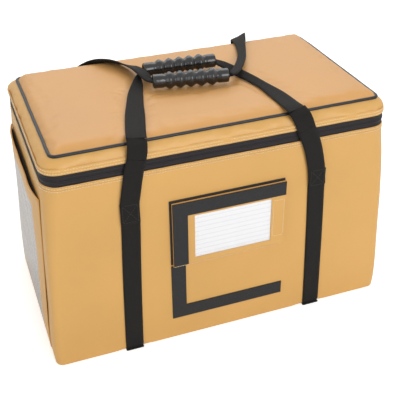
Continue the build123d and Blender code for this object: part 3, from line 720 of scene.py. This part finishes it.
def stitch_row(name, path, out_ways, material, thick=0.00050):
    """Small humped stitches along a path, each pulled down at its ends."""
    lengths = [0.0]
    for here, there in zip(path, path[1:]):
        lengths.append(lengths[-1] + (there - here).length)
    stitches = []
    segment = 0
    for index in range(int(lengths[-1] / (STITCH_LENGTH + STITCH_GAP))):
        rings = []
        for share, rise, wide in STITCH_HUMP:
            travel = index * (STITCH_LENGTH + STITCH_GAP) + STITCH_GAP / 2 + share * STITCH_LENGTH
            while segment < len(path) - 2 and lengths[segment + 1] < travel:
                segment += 1
            start, end = lengths[segment : segment + 2]
            part = (travel - start) / max(1e-9, end - start)
            here, there = path[segment], path[segment + 1]
            out = out_ways[segment].lerp(out_ways[segment + 1], part).normalized()
            side = (there - here).normalized().cross(out).normalized()
            centre = here.lerp(there, part) + out * thick * rise
            rings.append(spokes(centre, side, out, thick * wide, 5))
        stitches.append(skin(rings))
    return piece(name, *gathered(stitches), material)


def hem_row(name, half_x, half_y, radius, height, seed, body):
    """One stitch row that follows a hem round the carrier."""
    run, ways = zip_run(zip_half_width - half_x, radius, 0.004)
    run = [Vector((flat.x, math.copysign(min(abs(flat.y), half_y), flat.y))) for flat in run]
    path = [raised(flat, height + hem_sway(flat, seed)) for flat in run]
    row = stitch_row(name, path, [Vector((*out, 0)) for out in ways], cream_thread)
    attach(row, body)


for number, drop in enumerate((0.0028, 0.0068)):
    height = cover_top - drop
    half_x, half_y, radius = cover_wall(height - base_z)
    name = f"body_zip_stitch_{number}"
    hem_row(name, half_x, half_y + 0.0004, radius, height, BODY_SWAY, "carrier")
for number, share in enumerate((0.13, 0.31)):
    inward = along_table(BAND_TABLE, share)[0] * 0.0175
    half_x, half_y = zip_half_width - 0.0003 - inward, half_depth - 0.0001 - inward
    radius, height = HEM_TURN - inward, band_low + share * band_rise
    hem_row(f"lid_zip_stitch_{number}", half_x, half_y, radius, height, LID_SWAY, "lid")

# ====================
# Rear hinge: a strip of the cover cloth, sewn to the body hem and the lid hem,
# that folds where the zip would be, so the lid swings back on it.
hinge_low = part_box("body_hinge_strip")[0].z + 0.0005
hinge_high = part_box("lid_hinge_strip")[1].z - 0.0005
HINGE_ROWS = 24
# The fold's half height, how deep the cloth dips in at it, and how far the dip spreads.
HINGE_DIP = 0.0012
HINGE_DIP_SPREAD = 0.0025
hinge_half_x, hinge_half_y = zip_half_width - TAPE_INSET, half_depth - TAPE_INSET
hinge_ring = rounded_outline(hinge_half_x, hinge_half_y, TAPE_TURN, 40, 24, 12)
hinge_line = [flat for flat, out in hinge_ring if flat.y >= tape_end_y - 0.0001]
hinge_line.sort(key=lambda flat: math.atan2(flat.x, flat.y))
hinge_points = []
for row in range(HINGE_ROWS):
    rise = hinge_low + (hinge_high - hinge_low) * row / (HINGE_ROWS - 1)
    dip = 1 - HINGE_DIP / half_depth * math.exp(-(((rise - zip_z) / HINGE_DIP_SPREAD) ** 2))
    hinge_points += [raised(flat * dip, rise) for flat in hinge_line]
hinge_faces = grid_faces(HINGE_ROWS, len(hinge_line))
hinge_cloth = piece("rear_hinge_cloth", hinge_points, hinge_faces, orange_fabric)
thicken(hinge_cloth, 0.0009)
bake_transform(hinge_cloth)
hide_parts("body_hinge_strip", "lid_hinge_strip")

# ====================
# Lining and foam: closed-cell foam slabs in a wipe-clean white liner, welded
# at the rim, with a stiff board under the base foam.
LINER_WHITE = (0.80, 0.80, 0.79)
FOAM_WHITE = (0.72, 0.72, 0.70)
BOARD_BLACK = (0.05, 0.05, 0.05)
liner_cloth = mottled_material(
    "white_liner", LINER_WHITE, 0.38, 14.0, 0.03, 260.0, 0.0008, (0.3, 0.45),
    Specular_IOR_Level=0.5, Coat_Weight=0.1,
)
foam_cell = mottled_material(
    "closed_cell_foam", FOAM_WHITE, 0.85, 40.0, 0.05, 900.0, 0.0010, (0.8, 0.95)
)
board_fibre = mottled_material(
    "base_board_fibre", BOARD_BLACK, 0.6, 60.0, 0.15, 700.0, 0.0004, (0.5, 0.7)
)


def dress(material, *node_names):
    """A carried-over solid takes a maker's finish."""
    for node_name in node_names:
        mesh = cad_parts[node_name].data
        mesh.materials.clear()
        mesh.materials.append(material)


dress(liner_cloth, "inner_liner", "lid_liner")
dress(foam_cell, "base_foam", "front_foam", "rear_foam", "left_foam", "right_foam", "lid_foam")
dress(board_fibre, "base_board")

# ====================
# Webbing: black polypropylene, 30 mm wide, woven with fine ribs across it and a
# tight edge. Flat where it is sewn, folded in two to pass through the grips.
WEBBING_BLACK = (0.021, 0.020, 0.019)
# The weave's hollows are painted darker and its crests lighter: painted shade and painted light on the
# ribs.
WEAVE_PAINTED_SHADE = (0.009, 0.0085, 0.008, 1)
WEAVE_PAINTED_LIGHT = (0.027, 0.025, 0.023, 1)
RIB_PITCH = 0.0021
CORD_PITCH = 0.0013
webbing_cloth, webbing_tree, webbing_shader = plain_material(
    "webbing_weave", WEBBING_BLACK, 0.66, Specular_IOR_Level=0.14, Sheen_Weight=0.04,
    Sheen_Roughness=0.4,
)
weave_place = add_node(webbing_tree, "ShaderNodeTexCoord").outputs["UV"]
weave_split = add_node(webbing_tree, "ShaderNodeSeparateXYZ", weave_place)
ribs = threads(webbing_tree, weave_split.outputs["X"], RIB_PITCH)
cords = threads(webbing_tree, weave_split.outputs["Y"], CORD_PITCH)
crossing = reckon(webbing_tree, "MULTIPLY", ribs, cords)
ribbed = reckon(webbing_tree, "MULTIPLY_ADD", cords, 0.6, crossing)
weave_normal = relief(webbing_tree, ribbed, 0.8, 0.0003)
weave_depth = add_node(webbing_tree, "ShaderNodeMapRange", ribbed, From_Min=-1.6, From_Max=1.6)
# Colour follows the weave's height: painted shade in its hollows, painted light on its crests.
weave_painted_shade_ramp = add_node(webbing_tree, "ShaderNodeValToRGB", weave_depth.outputs["Result"])
weave_painted_shade_ramp.color_ramp.elements[0].color = WEAVE_PAINTED_SHADE
weave_painted_shade_ramp.color_ramp.elements[1].color = WEAVE_PAINTED_LIGHT
feed(webbing_shader, Base_Color=weave_painted_shade_ramp.outputs["Color"], Normal=weave_normal)

WEBBING_WIDTH = 0.030
WEBBING_THICK = 0.0017
ROWS_BETWEEN = 8
ACROSS_STEPS = 9
# The band thins from this part of its half width on, by this share at the edge.
SELVEDGE = 0.86
EDGE_THINNING = 0.55


def smooth_between(values, share):
    """A smooth curve through values at an even share of its length."""
    last = len(values) - 1
    position = min(last - 1e-9, share * last)
    index = int(position)
    part = position - index
    a = values[max(0, index - 1)]
    b = values[index]
    c = values[index + 1]
    d = values[min(last, index + 2)]
    return (
        b
        + (c - a) * (0.5 * part)
        + (a - b * 2.5 + c * 2 - d * 0.5) * part**2
        + ((b - c) * 1.5 + (d - a) * 0.5) * part**3
    )


def webbing(name, stations):
    """A woven band through stations of centre, way across, and size where it is folded."""
    centres = [Vector(station[:3]) for station in stations]
    acrosses = [Vector(station[3:6]).normalized() for station in stations]
    flat_size = (WEBBING_WIDTH, WEBBING_THICK)
    sizes = [Vector((*(station[6:] or flat_size), 0)) for station in stations]
    rows = (len(stations) - 1) * ROWS_BETWEEN + 1
    rings = []
    places = []
    travelled = 0.0
    previous = centres[0]
    for row in range(rows):
        share = row / (rows - 1)
        here = smooth_between(centres, share)
        ahead = smooth_between(centres, min(1, share + 0.5 / rows))
        behind = smooth_between(centres, max(0, share - 0.5 / rows))
        along = (ahead - behind).normalized()
        across = smooth_between(acrosses, share)
        across = (across - along * across.dot(along)).normalized()
        facing = across.cross(along).normalized()
        width, thick, _ = smooth_between(sizes, share)
        travelled += (here - previous).length
        previous = here
        ring = []
        for side in (1, -1):
            for step in range(ACROSS_STEPS):
                part = step / (ACROSS_STEPS - 1) * 2 - 1
                edge = 1 - EDGE_THINNING * max(0, abs(part) - SELVEDGE) / (1 - SELVEDGE)
                aside = part * side * width / 2
                ring.append(here + across * aside + facing * (side * thick / 2 * edge))
                places.append((travelled, aside))
        rings.append(ring)
    band = piece(name, *skin(rings), webbing_cloth)
    layer = band.data.uv_layers.new(name="weave")
    for loop in band.data.loops:
        layer.data[loop.index].uv = places[loop.vertex_index]
    return band


# The base straps splay a little: they stand further apart under the base.
strap_y = half_depth + 0.0010
BASE_TURN = ((0.0002, 0.008), (0.0030, 0.0021), (0.0110, 0.0011))
for side_name, side, strap_top in (("left", -1, 0.289), ("right", 1, 0.280)):
    wall = ((0.1550, strap_top), (0.1550, 0.245), (0.1575, 0.180), (0.1600, 0.100), (0.1618, 0.030))
    front = [(side * x, -strap_y, z, 1, 0, 0) for x, z in wall]
    front += [(side * 0.1622, -strap_y + inset, z, 1, 0, 0) for inset, z in BASE_TURN]
    under = (side * 0.1622, 0, 0.0011, 1, 0, 0)
    rear = [(x, -y, z, 1, 0, 0) for x, y, z, *across in reversed(front)]
    strap = webbing(f"{side_name}_base_strap", [*front, under, *rear])
    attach(strap, "carrier")
    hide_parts(f"{side_name}_strap")

# ====================
# Carry loops: the webbing leaves its sewn box on each wall, turns over the lid
# edge, narrows as it folds in two and runs through the grip.
SIDES = (("left", -1), ("right", 1))
riser_y = 0.1652
GRIP_LENGTH = 0.1228
# The legs end this far inside the grip, folded to this width and thickness.
GRIP_OVERLAP = 0.004
FOLDED = (0.0145, 0.0040)
grip_ways = {}
grip_centres = {}
for loop, degrees in (("front", -2.2), ("rear", -9.2)):
    grip_ways[loop] = Vector((math.cos(math.radians(degrees)), math.sin(math.radians(degrees)), 0))
    grip_low, grip_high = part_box(f"{loop}_loop_grip")
    grip_centres[loop] = (grip_low + grip_high) / 2

# Between these places the real webbing bends as the lid and the grips move; the ends made from them
# below are not used.
LEG_TURN = (0.1512, 0.120)
# A row gives the band's centre and its way across, then its width and thickness where folded.
front_risers = {
    "left": [
        (-0.1550, -riser_y, 0.252, 1, 0, 0),
        (-0.1550, -riser_y, 0.285, 1, 0, 0),
        (-0.1524, -riser_y, 0.303, 1, 0, 0.14),
        (-0.1466, -riser_y, 0.336, 1, 0, 0.19),
        (-0.1405, -riser_y, 0.360, 1, 0, 0.20),
    ],
    "right": [
        (0.1550, -riser_y, 0.2505, 1, 0, 0),
        (0.1532, -riser_y, 0.268, 1, 0, 0.02),
        (0.1505, -riser_y, 0.289, 1, 0, 0.14),
        (0.1420, -riser_y, 0.325, 1, 0, 0.33),
        (0.1290, -riser_y, 0.358, 1, 0, 0.36),
    ],
}
front_bends = {
    "left": [
        front_risers["left"][-1],
        (-0.1385, -0.1642, 0.3715, 1, 0.02, 0.20),
        (-0.1368, -0.1602, 0.3805, 1, 0.16, 0.12),
        (-0.1350, -0.1512, 0.3868, 1, 0.30, 0.02),
    ],
    "right": [
        front_risers["right"][-1],
        (0.1244, -0.1642, 0.3710, 1, -0.04, 0.34),
        (0.1208, -0.1600, 0.3800, 1, -0.10, 0.20),
        (0.1175, -0.1512, 0.3864, 1, -0.16, 0.03),
    ],
}
front_legs = {
    "left": [
        front_bends["left"][-1],
        (-0.1315, -0.1350, 0.3878, 1, 0.34, 0.0),
        (-0.1245, -0.1090, 0.3880, 1, 0.37, 0.0),
        (-0.1172, -0.0825, 0.3880, 1, 0.39, 0.0),
        (-0.1078, -0.0500, 0.3885, 1, 0.40, 0.0, 0.0270, 0.0022),
        (-0.0972, -0.0165, 0.3890, 1, 0.40, -0.05, 0.0240, 0.0026),
        (-0.0860, 0.0110, 0.3905, 1, 0.35, -0.2, 0.0190, 0.0034),
        (-0.0740, 0.0340, 0.3950, 0.6, 0.9, -0.3, *FOLDED),
    ],
    "right": [
        front_bends["right"][-1],
        (0.1148, -0.1370, 0.3878, 1, -0.14, 0.0),
        (0.1128, -0.1130, 0.3880, 1, -0.14, 0.0, 0.0285, 0.0018),
        (0.1095, -0.0890, 0.3885, 1, -0.24, 0.02, 0.0255, 0.0022),
        (0.1035, -0.0600, 0.3890, 1, -0.42, 0.10, 0.0180, 0.0030),
        (0.0948, -0.0315, 0.3900, 1, -0.50, 0.22, 0.0158, 0.0036),
        (0.0830, -0.0040, 0.3920, 1, -0.60, 0.30, 0.0150, 0.0038),
        (0.0690, 0.0240, 0.3960, 0.7, 0.7, 0.3, *FOLDED),
    ],
}
rear_ends = {
    side_name: [(side * 0.1570, riser_y, z, 1, 0, 0) for z in (0.252, 0.278, 0.303)]
    for side_name, side in SIDES
}
rear_bends = {
    "left": [
        rear_ends["left"][-1],
        (-0.1560, 0.1656, 0.325, 1, 0, 0),
        (-0.1520, 0.1656, 0.345, 1, 0, 0),
        (-0.1470, 0.1628, 0.3590, 1, 0.05, -0.1),
        (-0.1420, 0.1578, 0.3680, 0.95, 0.1, -0.2),
        (-0.1370, 0.1515, 0.3752, 0.9, 0.2, -0.3),
    ],
    "right": [
        rear_ends["right"][-1],
        (0.1566, 0.1655, 0.325, 1, 0, 0),
        (0.1552, 0.1660, 0.348, 1, 0, 0),
        (0.1530, 0.1645, 0.367, 1, 0.04, 0),
        (0.1500, 0.1595, 0.3800, 1, 0.1, 0.1),
        (0.1460, 0.1515, 0.3880, 1, 0.2, 0.2),
    ],
}
rear_legs = {
    "left": [
        rear_bends["left"][-1],
        (-0.1280, 0.1400, 0.3845, 0.6, 0.5, -0.5, 0.0290, WEBBING_THICK),
        (-0.1160, 0.1240, 0.3925, 0.35, 0.7, -0.55, 0.0280, WEBBING_THICK),
        (-0.1010, 0.1040, 0.3970, 0.3, 0.79, -0.55, 0.0260, WEBBING_THICK),
        (-0.0870, 0.0790, 0.3990, 0.5, 0.7, -0.50, 0.0230, 0.0022),
        (-0.0780, 0.0500, 0.4040, 0.95, 0.4, -0.2, 0.0190, 0.0032),
        (-0.0720, 0.0200, 0.4040, 1, 0.1, 0.0, 0.0165, 0.0036),
        (-0.0690, 0.0050, 0.4012, 0.8, 0.6, 0.0, *FOLDED),
    ],
    "right": [
        rear_bends["right"][-1],
        (0.1400, 0.1370, 0.3930, 1, -0.1, 0.35, 0.0280, WEBBING_THICK),
        (0.1335, 0.1150, 0.3950, 0.9, -0.5, 0.3, 0.0210, 0.0024),
        (0.1240, 0.0840, 0.3955, 0.9, -0.3, 0.2, 0.0165, 0.0034),
        (0.1080, 0.0430, 0.3965, 0.9, -0.5, 0.0, *FOLDED),
        (0.0850, 0.0030, 0.3985, 0.8, -0.6, 0.0, *FOLDED),
        (0.0680, -0.0180, 0.4000, 0.5, -0.9, 0.0, *FOLDED),
    ],
}

for side_name, side in SIDES:
    for loop, legs in (("front", front_legs), ("rear", rear_legs)):
        reach = side * (GRIP_LENGTH / 2 - GRIP_OVERLAP)
        grip_end = (*(grip_centres[loop] + grip_ways[loop] * reach), 0, 1, 0, *FOLDED)
        leg = webbing(f"{loop}_leg_{side_name}", [*legs[side_name], grip_end])
        facing = -1 if loop == "front" else 1
        start, end = ((0, facing * y, 0) for y in LEG_TURN)
        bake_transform(leg)
        if side_name == "left":
            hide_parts(f"{loop}_loop_webbing")
    riser = webbing(f"front_riser_webbing_{side_name}", front_risers[side_name])
    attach(riser, "carrier")
    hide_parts(f"front_riser_{side_name}")
    bend = webbing(f"front_turn_{side_name}", front_bends[side_name])
    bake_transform(bend)
    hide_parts(f"front_bend_{side_name}")
    sewn = webbing(f"rear_sewn_end_{side_name}", rear_ends[side_name])
    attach(sewn, "carrier")
    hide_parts(f"rear_end_{side_name}")
    bend = webbing(f"rear_turn_{side_name}", rear_bends[side_name])
    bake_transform(bend)
    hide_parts(f"rear_riser_{side_name}")

# ====================
# Ribbed grips: moulded black rubber tubes with five hand beads between plain
# ends, slipped over the folded webbing. The skin is glossy.
RUBBER_BLACK = (0.010, 0.010, 0.011)
grip_rubber = mottled_material(
    "glossy_black_rubber", RUBBER_BLACK, 0.22, 90.0, 0.15, 500.0, 0.00002, (0.21, 0.25),
    Specular_IOR_Level=0.5, Coat_Weight=0.3, Coat_Roughness=0.15,
)

GRIP_BEADS = 5
GRIP_END_LENGTH = 0.0185
GRIP_END_RADIUS = 0.0112
GRIP_CREST_RADIUS = 0.0139
GRIP_VALLEY_RADIUS = 0.0096
GRIP_BORE_RADIUS = 0.0080
bead_pitch = (GRIP_LENGTH - 2 * GRIP_END_LENGTH) / GRIP_BEADS
BEAD_STEPS = 16
GRIP_SIDES = 40

grip_profile = [(0, GRIP_BORE_RADIUS), (0.0002, GRIP_END_RADIUS - 0.0012)]
grip_profile += [(0.0006, GRIP_END_RADIUS - 0.0004), (0.0016, GRIP_END_RADIUS)]
grip_profile += [(GRIP_END_LENGTH * part, GRIP_END_RADIUS) for part in (0.3, 0.6, 0.88)]
grip_end_profile = list(grip_profile)
for bead in range(GRIP_BEADS):
    for step in range(BEAD_STEPS):
        part = (step + 0.5) / BEAD_STEPS
        lift = max(0, (1.02 - math.hypot(2 * part - 1, 0.24)) / 0.78)
        lift = lift ** (1 + 0.35 * (1 - lift))
        radius = GRIP_VALLEY_RADIUS + (GRIP_CREST_RADIUS - GRIP_VALLEY_RADIUS) * lift
        grip_profile.append((GRIP_END_LENGTH + (bead + part) * bead_pitch, radius))
grip_profile += [(GRIP_LENGTH - x, radius) for x, radius in reversed(grip_end_profile)]

for loop in ("front", "rear"):
    along = grip_ways[loop]
    level = Vector((-along.y, along.x, 0))
    grip_start = grip_centres[loop] - along * (GRIP_LENGTH / 2)
    rings = [
        spokes(grip_start + along * distance, level, UP, radius, GRIP_SIDES)
        for distance, radius in grip_profile
    ]
    grip = piece(f"grip_on_{loop}_loop", *skin(rings, closed=True), grip_rubber)
    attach(grip, f"{loop}_loop")
    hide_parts(f"{loop}_loop_grip")

# ====================
# Box stitching: black thread sews each loop end on to its strap in a square
# with a cross through it.
THREAD_BLACK = (0.035, 0.034, 0.033)
black_thread = mottled_material(
    "black_thread", THREAD_BLACK, 0.5, 300.0, 0.1, 3000.0, 0.0001, (0.4, 0.6)
)
FINE_THREAD_RADIUS = 0.00038
ROW_STEPS = 12
BOX_HALF_WIDTH = 0.0118


def straight_row(name, start, end, out, body, material, slot):
    """A stitch row in a straight line on a wall that faces out."""
    path = [Vector(start).lerp(Vector(end), step / ROW_STEPS) for step in range(ROW_STEPS + 1)]
    row = stitch_row(name, path, [Vector(out)] * len(path), material, FINE_THREAD_RADIUS)
    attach(row, body)


def box_stitch(name, x, facing, low, high):
    """A stitched square with its diagonals, through a loop end and its strap."""
    y = facing * (riser_y + WEBBING_THICK / 2)
    left, right = x - BOX_HALF_WIDTH, x + BOX_HALF_WIDTH
    corners = [(left, y, low), (right, y, low), (right, y, high), (left, y, high)]
    for number, (a, b) in enumerate(((0, 1), (1, 2), (2, 3), (3, 0), (0, 2), (1, 3))):
        ends = corners[a], corners[b]
        straight_row(f"{name}_{number}", *ends, (0, facing, 0), "carrier", black_thread, "webbing")


box_stitch("front_box_left", -0.1550, -1, 0.2560, 0.2865)
box_stitch("front_box_right", 0.1545, -1, 0.2530, 0.2800)
for side_name, side in SIDES:
    box_stitch(f"rear_box_{side_name}", side * 0.1570, 1, 0.2560, 0.2930)

# ====================
# Hook-and-loop strips: black woven tape with a dense pile, 24.5 mm wide, cut
# as an L and sewn down along both edges on the flap and on the front wall.
PILE_BLACK = (0.022, 0.022, 0.023)
PILE_WIDTH = 0.0245
pile_cloth = mottled_material(
    "hook_and_loop_pile", PILE_BLACK, 0.85, 900.0, 0.75, 1400.0, 0.0015, (0.7, 0.95),
    Sheen_Weight=0.12, Sheen_Roughness=0.3,
)


def pile_strip(name, node, facing, body):
    """An L of pile tape that stands where its solid does, rounded at its edges."""
    low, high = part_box(node)
    back, front = (high.y, low.y) if facing < 0 else (low.y, high.y)
    inner_x = low.x + PILE_WIDTH
    if "lower" in node:
        bar, bar_edge, tip = low.z, low.z + PILE_WIDTH, high.z
    else:
        bar, bar_edge, tip = high.z, high.z - PILE_WIDTH, low.z
    shape = [(low.x, bar), (high.x, bar), (high.x, bar_edge)]
    shape += [(inner_x, bar_edge), (inner_x, tip), (low.x, tip)]
    made = bmesh.new()
    made.faces.new([made.verts.new((x, back, z)) for x, z in shape])
    grown = bmesh.ops.extrude_face_region(made, geom=made.faces[:])
    moved = [part for part in grown["geom"] if isinstance(part, bmesh.types.BMVert)]
    bmesh.ops.translate(made, verts=moved, vec=(0, front - back, 0))
    bmesh.ops.recalc_face_normals(made, faces=made.faces)
    rim = [e for e in made.edges if all(abs(v.co.y - front) < 1e-6 for v in e.verts)]
    bmesh.ops.bevel(made, geom=rim, offset=0.0005, segments=2, affect="EDGES")
    mesh = bpy.data.meshes.new(name)
    made.to_mesh(mesh)
    made.free()
    mesh.materials.append(pile_cloth)
    strip = placed(name, mesh)
    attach(strip, body)
    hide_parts(node)


pile_strip("flap_face_pile", "flap_face_strip", -1, "address_flap")
pile_strip("flap_back_pile", "flap_back_strip", 1, "address_flap")
pile_strip("wall_upper_pile", "wall_upper_strip", -1, "carrier")
pile_strip("wall_lower_pile", "wall_lower_strip", -1, "carrier")

# ====================
# Address flap: two layers of the cover cloth with a clear film window and a
# card sleeve between them, sewn to the wall along its lower edge.
FILM_CLEAR = (0.96, 0.97, 0.97)
film, film_tree, film_shader = plain_material(
    "clear_film", FILM_CLEAR, 0.08, Transmission_Weight=0.9, IOR=1.3, Alpha=0.20
)
film_place = add_node(film_tree, "ShaderNodeTexCoord").outputs["Object"]
film_wave = add_node(film_tree, "ShaderNodeTexNoise", Vector=film_place, Scale=18.0, Detail=2.0)
feed(film_shader, Normal=relief(film_tree, film_wave.outputs["Fac"], 0.15, 0.002))

CARD_WHITE = (0.94, 0.94, 0.96)
CARD_LINE_BLUE = (0.74, 0.77, 0.82, 1)
CARD_LINE_PITCH = 0.0085
CARD_LINE_SHARE = 0.10
card_paper, card_tree, card_shader = plain_material("card_paper", CARD_WHITE, 0.6)
card_place = add_node(card_tree, "ShaderNodeTexCoord").outputs["Object"]
card_height = add_node(card_tree, "ShaderNodeSeparateXYZ", card_place).outputs["Z"]
card_rows = reckon(card_tree, "MULTIPLY", card_height, 1 / CARD_LINE_PITCH)
card_line = reckon(card_tree, "LESS_THAN", reckon(card_tree, "FRACT", card_rows), CARD_LINE_SHARE)
card_mix = add_node(card_tree, "ShaderNodeMix", card_line, data_type="RGBA")
card_mix.inputs[6].default_value = (*CARD_WHITE, 1)
card_mix.inputs[7].default_value = CARD_LINE_BLUE
feed(card_shader, Base_Color=card_mix.outputs[2])

dress(orange_fabric, "flap_back", "flap_front", "flap_seam")
dress(film, "flap_window")
dress(card_paper, "address_card")

flap_low, flap_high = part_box("flap_front")
box_left, box_right = flap_high.x - 0.0205, flap_high.x - 0.0025
box_low, box_high = flap_low.z + 0.0165, flap_high.z - 0.0325
stitch_y = flap_low.y - 0.0001
flap_box = (
    (box_left, stitch_y, box_low), (box_left, stitch_y, box_high),
    (box_right, stitch_y, box_high), (box_right, stitch_y, box_low),
)
sewn_to_flap = ((0, -1, 0), "address_flap", cream_thread, "orange_fabric")
for number, start in enumerate(flap_box):
    straight_row(f"flap_box_{number}", start, flap_box[(number + 1) % 4], *sewn_to_flap)
seam_y, seam_z = flap_low.y + 0.0002, flap_low.z - 0.0014
seam_start, seam_end = (flap_low.x + 0.001, seam_y, seam_z), (flap_high.x - 0.001, seam_y, seam_z)
sewn_to_wall = ((0, -1, 0), "carrier", cream_thread, "orange_fabric")
straight_row("flap_seam_row", seam_start, seam_end, *sewn_to_wall)

# ====================
# Document pocket: a cloth frame round a film window, grey as painted reflection,
# sewn to the leaning left wall on three edges, with a dark strip of painted shade
# behind its mouth. Papers have stretched the bound top edge, so the mouth gapes.
# The window's grey is a painted reflection of the bright room on clear film.
POCKET_PAINTED_REFLECTION_GREY = (0.40, 0.385, 0.36)
POCKET_THICK = 0.0008
BINDING_RADIUS = 0.0014
film_painted_reflection = mottled_material(
    "pocket_film_painted_reflection", POCKET_PAINTED_REFLECTION_GREY, 0.2, 7.0, 0.10, 30.0, 0.004, (0.14, 0.26),
    Specular_IOR_Level=0.6, Coat_Weight=0.3, Coat_Roughness=0.1,
)
pocket_low, pocket_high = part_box("pocket_frame")
pocket_front, pocket_rear = pocket_low.y, pocket_high.y
pocket_base, pocket_top = pocket_low.z, pocket_high.z


def left_wall(z):
    """How far out the left wall stands at a height on it."""
    return -cover_wall(z - base_z)[0]


def pocket_stand(y, z):
    """How far the sheet stands off the wall: sewn down round it, full between."""
    fullness = 1.0
    for reach in ((y - pocket_front) / 0.060, (pocket_rear - y) / 0.060, (z - pocket_base) / 0.13):
        fullness *= math.sin(clamped(reach) * math.pi / 2) ** 0.8
    gape = max(0.0, (z - (pocket_top - 0.12)) / 0.12)
    ripple = cloth_wave((y, z, 0), 0.035, 13.0)
    return 0.0010 + fullness * (0.0035 + 0.0038 * gape) + 0.0006 * fullness * ripple


def marks(low, high, count):
    """Even marks from low to high."""
    return [low + (high - low) * step / count for step in range(count + 1)]


window_front, window_rear = pocket_front + 0.040, pocket_rear - 0.012
window_low, window_high = pocket_base + 0.004, pocket_top - 0.030
pocket_y = marks(pocket_front, window_front, 8) + marks(window_front, window_rear, 34)[1:-1]
pocket_y += marks(window_rear, pocket_rear, 4)
pocket_z = marks(pocket_base, window_low, 2) + marks(window_low, window_high, 34)[1:-1]
pocket_z += marks(window_high, pocket_top, 10)
pocket_points = [
    Vector((left_wall(z) - pocket_stand(y, z), y, z)) for z in pocket_z for y in pocket_y
]
pocket_faces = grid_faces(len(pocket_z), len(pocket_y))
# A dark sheet on the wall inside the mouth: painted shade for the pocket's dark inside.
mouth_shade_z = marks(pocket_top - 0.040, pocket_top - 0.001, 6)
mouth_shade_start = len(pocket_points)
mouth_shade_points = [Vector((left_wall(z) - 0.0021, y, z)) for z in mouth_shade_z for y in pocket_y[3:-3]]
mouth_shade_faces = grid_faces(len(mouth_shade_z), len(pocket_y) - 6)
pocket_parts = gathered([(pocket_points, pocket_faces), (mouth_shade_points, mouth_shade_faces)])
pocket = piece("document_pocket", *pocket_parts, orange_fabric)
pocket.data.materials.append(film_painted_reflection)
pocket.data.materials.append(tape_cloth)
for face in pocket.data.polygons:
    middle = face.center
    # The dark sheet's faces take the black tape cloth, as painted shade.
    if min(face.vertices) >= mouth_shade_start:
        face.material_index = 2
    elif window_front < middle.y < window_rear and window_low < middle.z < window_high:
        face.material_index = 1
thicken(pocket, POCKET_THICK, offset=0)
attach(pocket, "carrier")
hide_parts("pocket_frame", "pocket_window")
binding_path = [
    Vector((left_wall(pocket_top) - pocket_stand(y, pocket_top), y, pocket_top + 0.0005))
    for y in marks(pocket_front, pocket_rear, 48)
]
pocket_edge = tube("pocket_edge_binding", binding_path, BINDING_RADIUS, orange_fabric)
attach(pocket_edge, "carrier")
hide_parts("pocket_binding")

# ====================
# Zip sliders: black enamelled die castings, one each side of the meeting
# point, with flat pull tabs that hang on a bar under the bridge.
ENAMEL_BLACK = (0.018, 0.018, 0.019)
slider_enamel = mottled_material(
    "black_enamel", ENAMEL_BLACK, 0.3, 70.0, 0.25, 500.0, 0.0001, (0.25, 0.4),
    Metallic=0.6, Specular_IOR_Level=0.5,
)
dress(slider_enamel, "front_slider", "rear_slider", "front_puller", "rear_puller")
